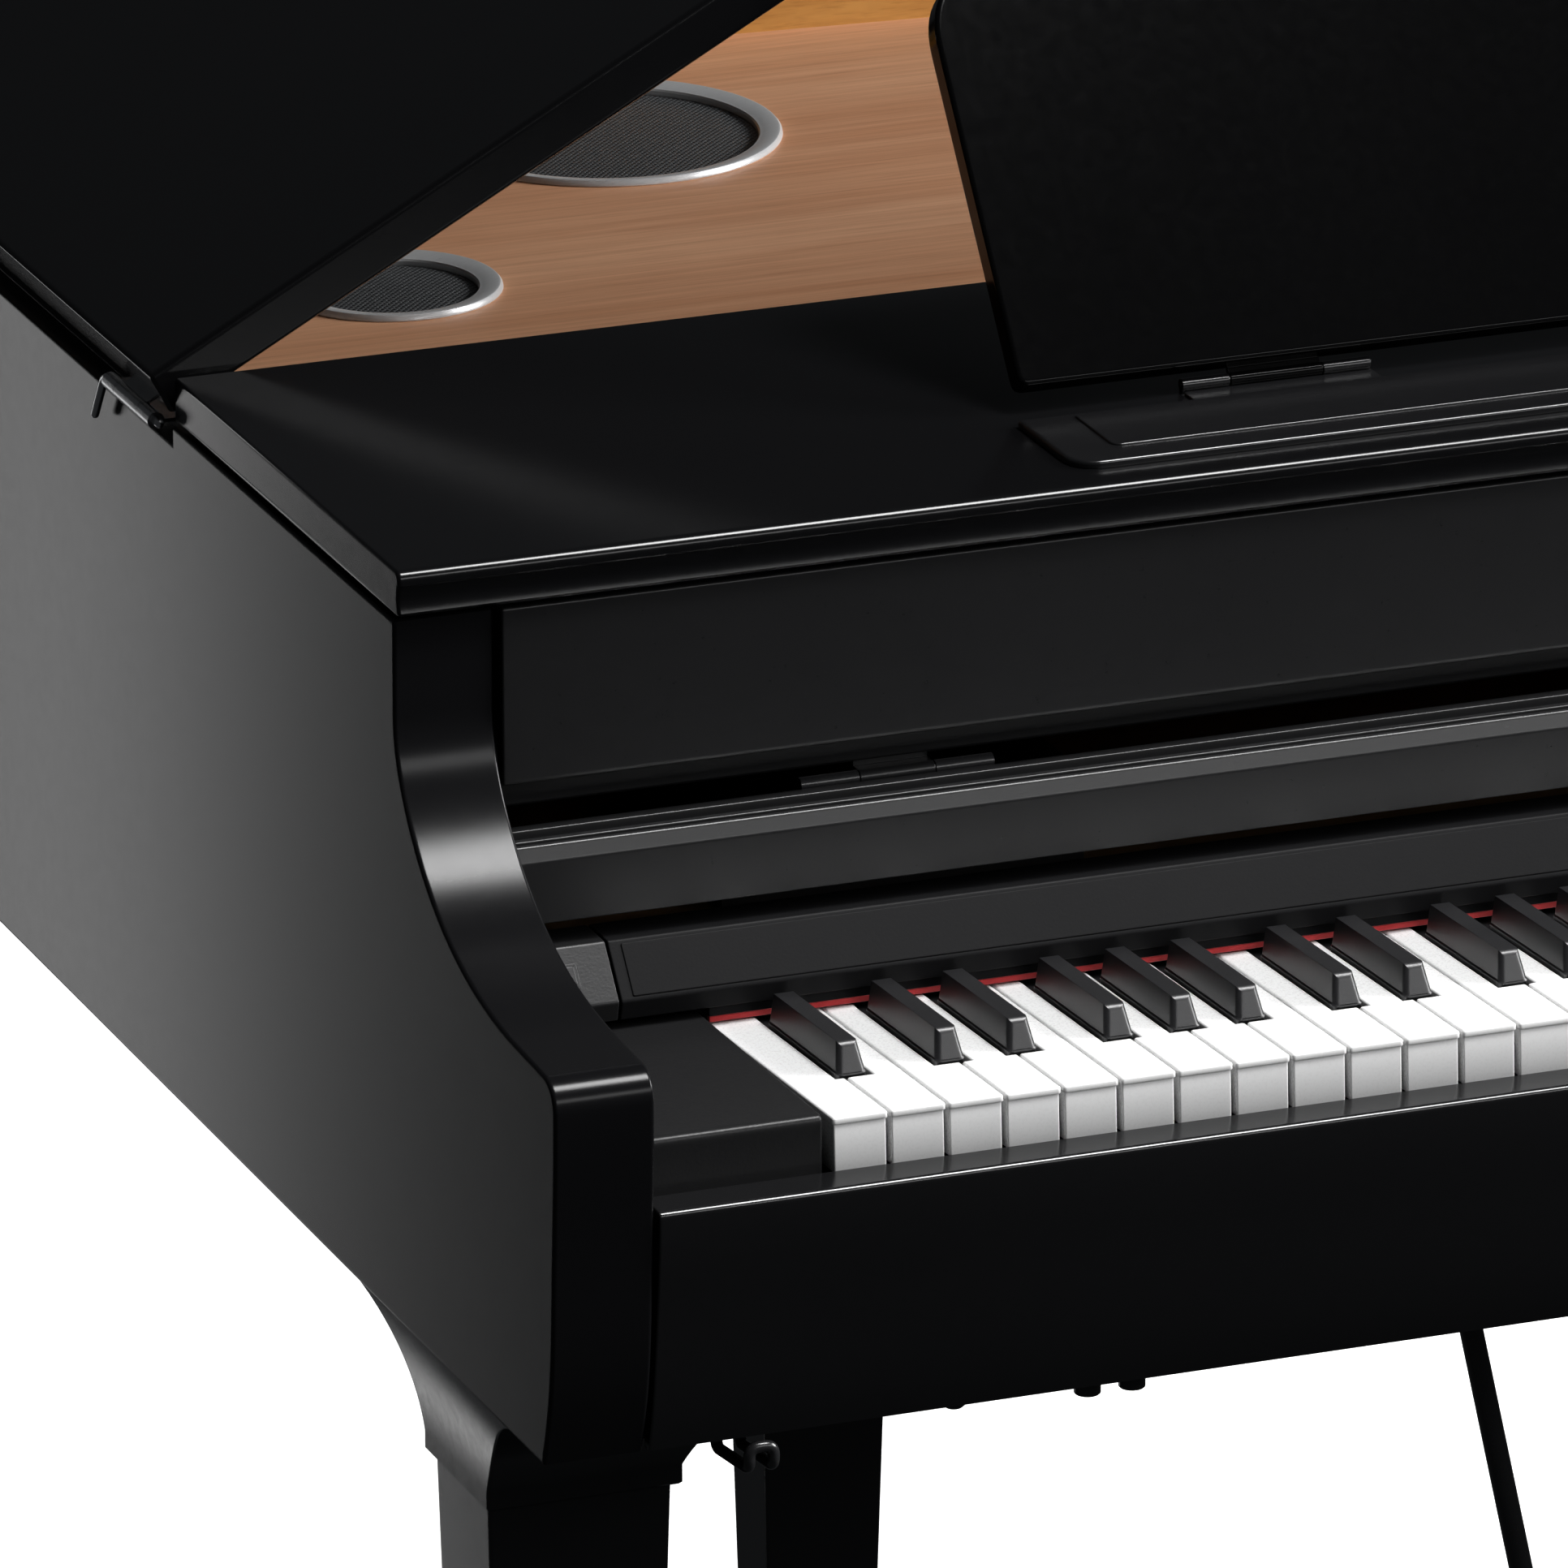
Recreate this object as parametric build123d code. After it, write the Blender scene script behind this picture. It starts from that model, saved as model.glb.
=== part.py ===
"""Compact grand-shaped digital piano: case, lid, keyboard, folding key cover, music rest and pedal lyre."""

from build123d import *
import math
import os

# ---------------------------------------------------------------- driving dimensions, millimetres
# X runs from bass to treble, Y from the player to the tail, Z up. The floor is z = 0.

# keyboard
white_keys = 52
key_pitch = 23.5
key_gap = 1.0
white_key_height = 22.0
white_head = 45.0
key_reach = 215.0
key_dip = 10.0
key_pivot_back = 200.0
black_base_width = 12.8
black_top_width = 8.0
black_front = 47.5
black_top_front = 52.0
black_cap_back = 119.5
black_rise = 12.0
black_body_drop = 2.0
black_side_gap = 1.3
notch_radius = 3.4
fulcrum_radius = 2.75

# case
key_top_z = 746.0
case_depth = 1237.0
rim_thickness = 40.0
cheek_width = 76.0
key_side_gap = 3.0
arm_overhang = 22.0
rim_drop = 120.5
rim_rise = 165.0
rebate_width = 10.0
rebate_depth = 8.0
spine_corner_radius = 170.0
tail_radius = 330.0
waist_radius = 600.0
waist_turn = 35.0
shoulder_radius = 300.0
shoulder_turn = 65.0
shoulder_flat = 60.0

# boards and panels
slip_gap = 2.0
slip_top = -20.0
slip_back = -3.0
bed_recess = 3.5
bed_thickness = 30.0
bed_back = 430.0
bottom_thickness = 18.0
top_board_front = 144.0
top_board_back = 403.0
top_board_thickness = 18.0
top_board_gap = 3.0
beam_thickness = 20.0
board_clearance = 0.5
soundboard_rise = 116.0
soundboard_thickness = 6.0
ledge_front = 979.0
ledge_tilt = -4.7
ledge_height = 20.0

# lid, its hinges and its stay
lid_gap = 3.0
lid_inset = 1.3
lid_lift = 1.95
lid_thickness = 19.1
lid_open = 28.6
hinge_out = 4.7
hinge_rise = 1.0
knuckle_radius = 3.5
pin_radius = 1.8
pin_clearance = 0.05
leaf_thickness = 1.4
leaf_reach = 34.0
lid_hinge_stations = (412.0, 860.0)
lid_hinge_length = 56.0
pin_handle = 24.0
stay_pivot_out = 790.0
stay_pivot_drop = 40.0
stay_angle = 70.0
stay_width = 16.0
stay_thickness = 12.0
stay_tip_gap = 0.9
stay_pin_radius = 4.0
stay_stand_off = 17.0

# control bar and power switch
control_bar_over = 38.0
bar_section = [(138.0, 29.6), (122.0, 10.0), (124.0, 2.0), (158.0, 2.0), (158.0, 29.6)]
switch_size = 8.0
switch_proud = 1.5
switch_travel = 1.2
switch_depth = 6.0
switch_gap = 0.4
switch_station = -58.0

# key cover
cover_pin = 1.5
fold_pin = 1.25
cover_hinge_y = 161.5
cover_hinge_z = 73.5
cover_knuckle = 3.2
cover_fold_z = 165.0
cover_fold_y = 161.0
cover_board_front = 167.0
cover_board_thickness = 6.0
cover_flap_front = 148.0
cover_flap_thickness = 7.0
cover_flap_bottom = 93.4
cover_side_gap = 3.0
cover_fold_room = 5.0

# music rest
rest_width = 880.0
rest_length = 178.0
rest_thickness = 12.0
rest_corner = 25.0
rest_lean = 37.0
rest_hinge_y = 240.0
rest_hinge_rise = 3.0
rest_lift = 1.8
rest_hinges = (-330.0, 330.0)
rest_knuckle = 2.6
rest_pin = 1.2
tray_front = 163.0
tray_back = 222.0
tray_thickness = 4.0
tray_margin = 6.0

# loudspeakers: x from the bass end of the keyboard, y from the white key fronts, ring radius
speakers = ((233.0, 862.0, 77.0), (74.0, 690.0, 47.0), (930.0, 720.0, 77.0), (1140.0, 610.0, 47.0))
ring_width = 9.0
ring_proud = 3.0
grille_drop = 1.5
grille_thickness = 1.5
driver_depth = 45.0

# legs
leg_inset = 10.0
leg_front_y = 82.0
capital_x = 80.0
capital_y = 71.0
capital_height = 54.0
capital_foot = 8.0
capital_flare = 50.0
leg_top_x = 74.6
leg_top_y = 59.6
leg_taper = 0.024
glide_height = 20.0
glide_radius = 11.0
rear_leg = (366.0, 965.0)

# pedal lyre
pedal_box_width = 330.0
pedal_box_front = 150.0
pedal_box_back = 252.0
pedal_box_bottom = 42.0
pedal_box_top = 132.0
pedal_wall = 10.0
pedal_spacing = 72.0
pedal_width = 24.0
pedal_thickness = 9.0
pedal_tip = 52.0
pedal_z = 84.0
pedal_shaft_y = 226.0
pedal_shaft_radius = 4.0
pedal_travel = 6.0
post_spacing = 130.0
post_radius = 16.0
post_y = 200.0
stay_rod_radius = 4.8
stay_rod_splay = 119.3
stay_rod_inset = 6.5
stay_rod_top_y = 181.8
stay_rod_foot_y = 230.5

# under-bed fittings
socket_stations = (117.1, 135.6)
socket_y = 30.0
socket_radius = 5.25
socket_bore = 3.2
socket_end = 139.0
box_drop = 6.0
hanger_x = -36.0
hanger_width = 9.8
hanger_wire = 4.7
hanger_back = 28.0
hanger_tip = -7.0
screw_station = 61.9
screw_radius = 2.4
screw_bite = 10.0

# ---------------------------------------------------------------- worked-out places
keyboard_width = white_keys * key_pitch
case_width = keyboard_width + 2 * (key_side_gap + cheek_width + rim_thickness)
half = case_width / 2
inner_half = half - rim_thickness
front_y = -case_depth / 2
tail_y = case_depth / 2
key_y = front_y + arm_overhang
key_x = -keyboard_width / 2
rim_bottom_z = key_top_z - rim_drop
rim_top_z = key_top_z + rim_rise
bed_z = rim_bottom_z + bed_recess
board_top_z = rim_top_z + top_board_gap + top_board_thickness
key_slope = math.degrees(math.asin(key_dip / key_pivot_back))
lid_front = top_board_back + lid_gap
hinge_x = -half - hinge_out
hinge_z = rim_top_z + hinge_rise


def back(y):
    """World Y of a station measured back from the white key fronts."""
    return key_y + y


def up(z):
    """World Z of a height measured from the white key tops."""
    return key_top_z + z


def across(x):
    """World X of a place measured from the bass end of the keyboard."""
    return key_x + x


def block(x0, x1, y0, y1, z0, z1):
    """Rectangular block between two corners."""
    return Pos((x0 + x1) / 2, (y0 + y1) / 2, (z0 + z1) / 2) * Box(x1 - x0, y1 - y0, z1 - z0)


def side_plane(x):
    """Sketch plane across the case at x: its first axis is Y and its second is Z."""
    return Plane(origin=(x, 0, 0), x_dir=(0, 1, 0), z_dir=(1, 0, 0))


def front_plane(y):
    """Sketch plane facing the player at y: its first axis is X and its second is Z."""
    return Plane(origin=(0, y, 0), x_dir=(1, 0, 0), z_dir=(0, -1, 0))


def side_profile(points, x0, x1):
    """Closed outline of keyboard (y, z) stations, carried along X."""
    outline = [(back(y), up(z)) for y, z in points]
    face = make_face(Polyline(*outline, close=True))
    return extrude(side_plane(x0) * face, amount=x1 - x0)


def rod(start, end, radius):
    """Round bar between two points."""
    axis = Vector(*end) - Vector(*start)
    return extrude(Plane(origin=start, z_dir=axis) * Circle(radius), amount=axis.length)


def group(solids):
    """Separate solids held in one node."""
    return Compound(children=list(solids))


# ---------------------------------------------------------------- case
def case_outline():
    """Plan of the case: straight spine, round tail, hollow waist, round shoulder and straight cheek."""
    left, right = -half, half
    front = front_y

    def turned(start, heading, radius, turn):
        tangent = (math.cos(heading), math.sin(heading))
        arc = JernArc(start=start, tangent=tangent, radius=radius, arc_size=turn)
        return arc, arc @ 1, heading + math.radians(turn)

    tail_turn = 90.0 - shoulder_turn + waist_turn
    headings = [90.0, 90.0 + shoulder_turn, 90.0 + shoulder_turn - waist_turn, 180.0]
    h = [math.radians(a) for a in headings]
    rise = shoulder_radius * (math.cos(h[0]) - math.cos(h[1]))
    rise += shoulder_flat * math.sin(h[1])
    rise += waist_radius * (math.cos(h[2]) - math.cos(h[1]))
    rise += tail_radius * (math.cos(h[2]) - math.cos(h[3]))
    shoulder_y = tail_y - rise
    cheek = Line((right, front), (right, shoulder_y))
    shoulder, point, heading = turned((right, shoulder_y), h[0], shoulder_radius, shoulder_turn)
    flat_end = point + Vector(math.cos(heading), math.sin(heading)) * shoulder_flat
    flat = Line(point, flat_end)
    waist, point, heading = turned(flat_end, heading, waist_radius, -waist_turn)
    tail, point, heading = turned(point, heading, tail_radius, tail_turn)
    corner_start = Vector(left + spine_corner_radius, tail_y)
    end = Line(point, corner_start)
    corner = JernArc(start=corner_start, tangent=(-1, 0), radius=spine_corner_radius, arc_size=90)
    spine = Line(corner @ 1, (left, front))
    close = Line((left, front), (right, front))
    return make_face([cheek, shoulder, flat, waist, tail, end, corner, spine, close]), shoulder_y


plan, shoulder_y = case_outline()
spine_y = tail_y - spine_corner_radius
inner_plan = offset(plan, amount=-rim_thickness, kind=Kind.INTERSECTION)
rebate_plan = offset(plan, amount=-rebate_width, kind=Kind.INTERSECTION)


def plan_slab(face, z0, z1):
    """Plan face carried up from z0 to z1."""
    return extrude(Plane.XY.offset(z0) * face, amount=z1 - z0)


def rim_rebate():
    """Step round the rim's outer top edge, behind the top board."""
    ring = plan_slab(plan, rim_top_z - rebate_depth, rim_top_z + 1) - plan_slab(
        rebate_plan, rim_top_z - rebate_depth - 1, rim_top_z + 2
    )
    return ring & block(-case_width, case_width, back(lid_front - 1), tail_y + 1, 0, 2 * rim_top_z)


def arm_outline(y_end):
    """Side view of a side panel: curved arm at the front, square at the back."""
    top = Line((back(150), up(rim_rise)), (back(150.5), up(126)))
    sweep_down = Spline(
        (back(150.5), up(126)), (back(136), up(90)), (back(82), up(51)), (back(25), up(39)),
        tangents=[(0.02, -1), (-1, -0.08)],
    )
    nose_top = Line((back(25), up(39)), (back(-10), up(37.2)))
    nose = ThreePointArc((back(-10), up(37.2)), (back(-18.4), up(33.6)), (back(-22), up(25)))
    face_down = Spline(
        (back(-22), up(25)), (back(-19), up(-43)), (back(-14), up(-95)), (back(-6.5), up(-rim_drop)),
        tangents=[(0, -1), (0.35, -1)],
    )
    bottom = Line((back(-6.5), rim_bottom_z), (y_end, rim_bottom_z))
    rear = Line((y_end, rim_bottom_z), (y_end, rim_top_z))
    head = Line((y_end, rim_top_z), (back(150), rim_top_z))
    return make_face([top, sweep_down, nose_top, nose, face_down, bottom, rear, head])


def side_panel(x0, y_end):
    """One straight side of the rim with its arm."""
    return extrude(side_plane(x0) * arm_outline(y_end), amount=rim_thickness) - rim_rebate()


def bent_rim():
    """Laminated rim round the shoulder, waist and tail."""
    ring = plan_slab(plan, rim_bottom_z, rim_top_z) - plan_slab(inner_plan, rim_bottom_z - 1, rim_top_z + 1)
    ring -= block(-half - 1, 0, front_y - 1, spine_y, 0, 2 * rim_top_z)
    ring -= block(0, half + 1, front_y - 1, shoulder_y, 0, 2 * rim_top_z)
    return ring - rim_rebate()


def key_slip():
    """Front board below the keys: thin top lip, face following the arms."""
    top = Line((back(slip_back), up(slip_top)), (back(-19), up(slip_top)))
    lip_end = (back(-21), up(slip_top - 3))
    lip = ThreePointArc((back(-19), up(slip_top)), (back(-20.7), up(slip_top - 0.8)), lip_end)
    face_down = Spline(
        lip_end, (back(-18), up(-60)), (back(-13), up(-98)), (back(-7.5), up(-rim_drop)),
        tangents=[(0, -1), (0.35, -1)],
    )
    bottom = Line((back(-7.5), rim_bottom_z), (back(slip_back), rim_bottom_z))
    rear = Line((back(slip_back), rim_bottom_z), (back(slip_back), up(slip_top)))
    face = make_face([top, lip, face_down, bottom, rear])
    reach = inner_half - slip_gap
    return extrude(side_plane(-reach) * face, amount=2 * reach)


def key_bed():
    """Board that carries the keyboard, drilled for the chassis screws."""
    board = block(-inner_half, inner_half, back(slip_back), back(bed_back), bed_z, bed_z + bed_thickness)
    return board - screw_holes(bed_z - 1, bed_z + bed_thickness + 1)


def bottom_board():
    """Floor of the case behind the key bed."""
    slab = plan_slab(inner_plan, bed_z, bed_z + bottom_thickness)
    return slab & block(-case_width, case_width, back(bed_back), tail_y, 0, rim_top_z)


def cheek_block(sign):
    """Block between the keys and an arm; it stands on the key bed."""
    outer = sign * inner_half
    inner = sign * (keyboard_width / 2 + key_side_gap)
    low, high = min(outer, inner), max(outer, inner)
    top = [(1.4, -0.6), (4.0, 2.2), (150.0, -2.6), (150.0, -45.0), (1.4, -45.0)]
    body = side_profile(top, low, high)
    foot = block(low, high, back(14), back(150), bed_z + bed_thickness, up(-45))
    return body + foot


def control_bar():
    """Bar behind the keys with a slanted face and an undercut lip."""
    reach = keyboard_width / 2 + control_bar_over
    return side_profile(bar_section, -reach, reach)


face_run = (bar_section[0][0] - bar_section[1][0], bar_section[0][1] - bar_section[1][1])
face_length = math.hypot(*face_run)
face_normal = (-face_run[1] / face_length, face_run[0] / face_length)
switch_plane = Plane(
    origin=(across(switch_station), back(130.0), up(19.8)),
    x_dir=(1, 0, 0),
    z_dir=(0, face_normal[0], face_normal[1]),
)


def bar_end_block(sign):
    """End of the control bar, standing between it and the arm."""
    outer = sign * inner_half
    inner = sign * (keyboard_width / 2 + control_bar_over + 1)
    end = side_profile(bar_section, min(outer, inner), max(outer, inner))
    if sign < 0:
        pocket = switch_plane * Box(
            switch_size + 2 * switch_gap, switch_size + 2 * switch_gap, 2 * switch_depth
        )
        end -= pocket
    return end


def power_switch():
    """Push button in the bass end block."""
    length = switch_depth - switch_travel - switch_gap + switch_proud
    middle = switch_proud - length / 2
    return switch_plane * Pos(0, 0, middle) * Box(switch_size, switch_size, length)


def key_felt():
    """Red felt strip under the lip of the control bar."""
    return block(key_x, -key_x, back(128), back(131), up(-5.6), up(2))


def cover_rail():
    """Fixed rail that carries the key cover's hinges."""
    section = [(140, 39), (140, 64), (143, 70), (157.6, 70), (157.6, 66), (159.5, 66), (159.5, 39)]
    return side_profile(section, -inner_half, inner_half)


def top_board():
    """Fixed front part of the top."""
    z0 = rim_top_z + top_board_gap
    board = block(-half, half, back(top_board_front), back(top_board_back), z0, board_top_z)
    nose = board.edges().filter_by(Axis.X).group_by(Axis.Y)[0].sort_by(Axis.Z)[-1]
    return fillet(nose, 4.0)


def front_beam():
    """Beam under the back edge of the top board; it closes the front of the soundboard well."""
    y1 = back(top_board_back)
    z0 = up(soundboard_rise - soundboard_thickness)
    return block(-inner_half, inner_half, y1 - beam_thickness, y1, z0, rim_top_z + top_board_gap)


def soundboard():
    """Wooden board under the lid, cut out for the loudspeakers."""
    shape = offset(plan, amount=-(rim_thickness + board_clearance), kind=Kind.INTERSECTION)
    z1 = up(soundboard_rise)
    slab = plan_slab(shape, z1 - soundboard_thickness, z1)
    slab &= block(-case_width, case_width, back(top_board_back) + board_clearance, tail_y, 0, rim_top_z)
    for x, y, radius in speakers:
        slab -= Pos(across(x), back(y), z1) * Cylinder(radius - ring_width, 4 * soundboard_thickness)
    return slab


def rear_ledge():
    """Raised wooden step at the tail of the soundboard."""
    shape = offset(plan, amount=-(rim_thickness + board_clearance), kind=Kind.INTERSECTION)
    z1 = up(soundboard_rise)
    slab = plan_slab(shape, z1, z1 + ledge_height)
    cutter = block(-case_width, case_width, 0, case_depth, 0, 2 * rim_top_z)
    return slab & (Pos(across(376.5), back(ledge_front), 0) * Rot(0, 0, ledge_tilt) * cutter)


def speaker_ring(x, y, radius):
    """Trim ring: rounded collar on the soundboard with an inner skirt."""
    z1 = up(soundboard_rise)
    collar = Pos(across(x), back(y), z1 + ring_proud / 2) * Cylinder(radius, ring_proud)
    collar = fillet(collar.edges().sort_by(Axis.Z)[-1], 1.2)
    skirt = Pos(across(x), back(y), z1 - 3) * Cylinder(radius - ring_width, 6)
    bore = Pos(across(x), back(y), z1) * Cylinder(radius - ring_width - 1.5, 20)
    return collar + skirt - bore


def speaker_grille(x, y, radius):
    """Flat mesh disc inside the ring."""
    z1 = up(soundboard_rise) - grille_drop
    disc = Cylinder(radius - ring_width - 1.5, grille_thickness)
    return Pos(across(x), back(y), z1 - grille_thickness / 2) * disc


def speaker_driver(x, y, radius):
    """Loudspeaker under the soundboard: basket rim, cone body and magnet."""
    z1 = up(soundboard_rise) - soundboard_thickness
    rim = Pos(across(x), back(y), z1 - 2) * Cylinder(radius, 4)
    cone = Cone(0.45 * radius, 0.8 * radius, 0.6 * driver_depth)
    cone = Pos(across(x), back(y), z1 - 4 - 0.3 * driver_depth) * cone
    magnet = Cylinder(0.5 * radius, 0.3 * driver_depth)
    magnet = Pos(across(x), back(y), z1 - 4 - 0.75 * driver_depth) * magnet
    return rim + cone + magnet


def circuit_boards():
    """Tone generator board behind the keys and the key sensor board under them."""
    low = bed_z + bed_thickness
    main = block(across(60), across(330), back(262), back(402), low + 8, low + 9.6)
    main_feet = [
        Pos(across(x), back(y), low + 4) * Cylinder(3, 8) for x in (75, 315) for y in (275, 389)
    ]
    sensor = block(key_x, -key_x, back(100), back(140), up(-40), up(-38.4))
    sensor_feet = [block(x - 4, x + 4, back(104), back(136), low, up(-40)) for x in (key_x + 60, 0, -key_x - 60)]
    return group([main, *main_feet, sensor, *sensor_feet])


def power_supply():
    """Closed mains supply unit on the bottom board."""
    low = bed_z + bottom_thickness
    return block(across(140), across(300), back(480), back(590), low, low + 42)


def socket_panel():
    """Plate under the case with the mains inlet."""
    plate = block(across(120), across(260), back(700), back(770), bed_z - 2, bed_z)
    inlet = block(across(140), across(168), back(725), back(745), bed_z - 14, bed_z - 2)
    recess = block(across(142), across(166), back(727), back(743), bed_z - 15, bed_z - 4)
    return plate + inlet - recess


# ---------------------------------------------------------------- keys
# Black keys sit on the joint between two white keys, moved sideways by these amounts.
black_shift = {"c_sharp": -3.0, "d_sharp": 3.0, "f_sharp": -4.0, "g_sharp": 0.0, "a_sharp": 3.7}
white_names = ("a", "b", "c", "d", "e", "f", "g")
sharp_after = {"a": "a_sharp", "c": "c_sharp", "d": "d_sharp", "f": "f_sharp", "g": "g_sharp"}
key_tilt = Pos(0, key_y, key_top_z) * Rot(-key_slope, 0, 0)


def white_name(index):
    """Note name of a white key; index 0 is the lowest one."""
    return white_names[index % len(white_names)]


def black_centre(index):
    """Centre of the black key after white key index, from the bass end, or None."""
    name = sharp_after.get(white_name(index))
    if name is None or not 0 <= index < white_keys - 1:
        return None
    return (index + 1) * key_pitch + black_shift[name]


def pivot_notch(x0, x1):
    """Half-round notch under a key, where it rocks on the fulcrum."""
    return extrude(
        side_plane(x0 - 1) * Pos(key_pivot_back, -white_key_height) * Circle(notch_radius), amount=x1 - x0 + 2
    )


def white_key(index):
    """White key with its sides cut back beside the black keys; level, then tilted to rest."""
    left, right = index * key_pitch + key_gap / 2, (index + 1) * key_pitch - key_gap / 2
    tail_left, tail_right = left, right
    before, after = black_centre(index - 1), black_centre(index)
    clear = black_base_width / 2 + black_side_gap
    if before is not None:
        tail_left = max(left, before + clear)
    if after is not None:
        tail_right = min(right, after - clear)
    x0, x1, t0, t1 = (across(v) for v in (left, right, tail_left, tail_right))
    outline = [(x0, 0), (x1, 0), (x1, white_head), (t1, white_head), (t1, key_reach), (t0, key_reach)]
    outline += [(t0, white_head), (x0, white_head)]
    points = [p for i, p in enumerate(outline) if i == 0 or p != outline[i - 1]]
    body = extrude(make_face(Polyline(*points, close=True)), amount=-white_key_height)
    return key_tilt * (body - pivot_notch(t0, t1))


def black_key(index):
    """Black key: sloped front and sides above the white tops, a plain stick behind."""
    centre = across(black_centre(index))
    low, wide, narrow = -white_key_height, black_base_width / 2, black_top_width / 2
    side = [
        (black_front, low), (black_front, 0), (black_top_front, black_rise), (black_cap_back, black_rise),
        (black_cap_back, -black_body_drop), (key_reach, -black_body_drop), (key_reach, low),
    ]
    stick = extrude(side_plane(centre - wide) * make_face(Polyline(*side, close=True)), amount=2 * wide)
    section = [
        (centre - wide, low - 1), (centre + wide, low - 1), (centre + wide, 0),
        (centre + narrow, black_rise), (centre - narrow, black_rise), (centre - wide, 0),
    ]
    cutter = make_face(Polyline(*section, close=True))
    cutter = extrude(front_plane(key_reach + 1) * cutter, amount=key_reach + 2)
    return key_tilt * ((stick & cutter) - pivot_notch(centre - wide, centre + wide))


def key_nodes():
    """All keys, one node for each note of the octave."""
    nodes = {}
    for index in range(white_keys):
        nodes.setdefault(f"white_keys_{white_name(index)}", []).append(white_key(index))
        if black_centre(index) is not None:
            nodes.setdefault(f"black_keys_{sharp_after[white_name(index)]}", []).append(black_key(index))
    return {name: group(keys) for name, keys in nodes.items()}


def key_pivot():
    """World Y and Z of the fulcrum line."""
    turn = math.radians(-key_slope)
    y = key_pivot_back * math.cos(turn) + white_key_height * math.sin(turn)
    z = key_pivot_back * math.sin(turn) - white_key_height * math.cos(turn)
    return key_y + y, key_top_z + z


def key_frame():
    """Chassis under the keys: front stop rail, balance rail and the steel fulcrum."""
    y, z = key_pivot()
    low = bed_z + bed_thickness
    x0, x1 = key_x, -key_x
    stop = block(x0, x1, back(20), back(50), low, up(-key_dip - white_key_height - 1))
    rail = block(x0, x1, y - 8, y + 8, low, z - fulcrum_radius)
    link = block(x0, x0 + 20, back(50), y - 8, low, low + 6)
    far_link = block(x1 - 20, x1, back(50), y - 8, low, low + 6)
    fulcrum = rod((x0, y, z), (x1, y, z), fulcrum_radius)
    chassis = stop + link + far_link + rail - screw_holes(low - 1, low + screw_bite + 0.5)
    return group([chassis, fulcrum])


# ---------------------------------------------------------------- lid
lid_axis = Axis((hinge_x, 0, hinge_z), (0, 1, 0))


def opened(shape):
    """Shape drawn with the lid shut, turned to the open lid."""
    return shape.rotate(lid_axis, -lid_open)


def lid_panel():
    """Lid: the case outline behind the top board, hinged at the spine."""
    shape = offset(plan, amount=-lid_inset, kind=Kind.INTERSECTION)
    z0 = rim_top_z + lid_lift
    slab = plan_slab(shape, z0, z0 + lid_thickness)
    slab &= block(-case_width, case_width, back(lid_front), tail_y, 0, 2 * rim_top_z)
    for y in lid_hinge_stations:
        slab -= block(
            -half, -half + leaf_reach + 1, back(y) + 13, back(y) + lid_hinge_length - 13,
            z0 - 1, z0 + leaf_thickness + 0.2,
        )
    return opened(slab)


def knuckle(y0, y1, bore):
    """Hinge barrel on the lid axis."""
    tube = rod((hinge_x, y0, hinge_z), (hinge_x, y1, hinge_z), knuckle_radius)
    return tube - rod((hinge_x, y0 - 1, hinge_z), (hinge_x, y1 + 1, hinge_z), bore)


def rim_hinge_leaf(y):
    """Fixed leaf: two outer knuckles and a plate on the rim."""
    bore = pin_radius + pin_clearance
    y0, y1 = back(y), back(y) + lid_hinge_length
    z0 = rim_top_z
    plate = block(hinge_x, -half + leaf_reach, y0, y1, z0, z0 + leaf_thickness)
    plate -= block(hinge_x - 5, -half - 0.5, y0 + 14, y1 - 14, z0 - 5, z0 + 5)
    barrel = knuckle(y0, y0 + 14, bore) + knuckle(y1 - 14, y1, bore)
    leaf = plate + barrel
    return leaf - rod((hinge_x, y0 - 1, hinge_z), (hinge_x, y1 + 1, hinge_z), bore)


def lid_hinge_leaf(y):
    """Moving leaf: middle knuckle and a plate let into the lid."""
    bore = pin_radius + pin_clearance
    y0, y1 = back(y) + 14.4, back(y) + lid_hinge_length - 14.4
    z0 = rim_top_z + lid_lift
    plate = block(hinge_x, -half + leaf_reach, y0, y1, z0, z0 + leaf_thickness)
    leaf = plate + knuckle(y0, y1, bore)
    return opened(leaf - rod((hinge_x, y0 - 1, hinge_z), (hinge_x, y1 + 1, hinge_z), bore))


def lid_hinge_pin(y):
    """Pull pin: straight through the knuckles, then a bent handle."""
    start = (hinge_x, back(y) - 4, hinge_z)
    bend = (hinge_x, back(y) + lid_hinge_length + 6, hinge_z)
    lean = math.radians(56)
    tip = (hinge_x, bend[1] + pin_handle * math.cos(lean), hinge_z - pin_handle * math.sin(lean))
    path = FilletPolyline(start, bend, tip, radius=4.5)
    return sweep(Plane(origin=start, z_dir=(0, 1, 0)) * Circle(pin_radius), path=path)


# ---------------------------------------------------------------- lid stay
stay_x = hinge_x + stay_pivot_out
stay_z = hinge_z - stay_pivot_drop
stay_y = back(top_board_back) + stay_stand_off


def stay_length():
    """Pivot to the centre of the rounded tip, so that the tip just clears the open lid's underside."""
    lift = math.radians(lid_open)
    room = stay_pivot_out * math.sin(lift) + stay_pivot_drop * math.cos(lift)
    room += lid_lift - hinge_rise - stay_width / 2 - stay_tip_gap
    return room / math.sin(math.radians(stay_angle - lid_open))


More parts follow.
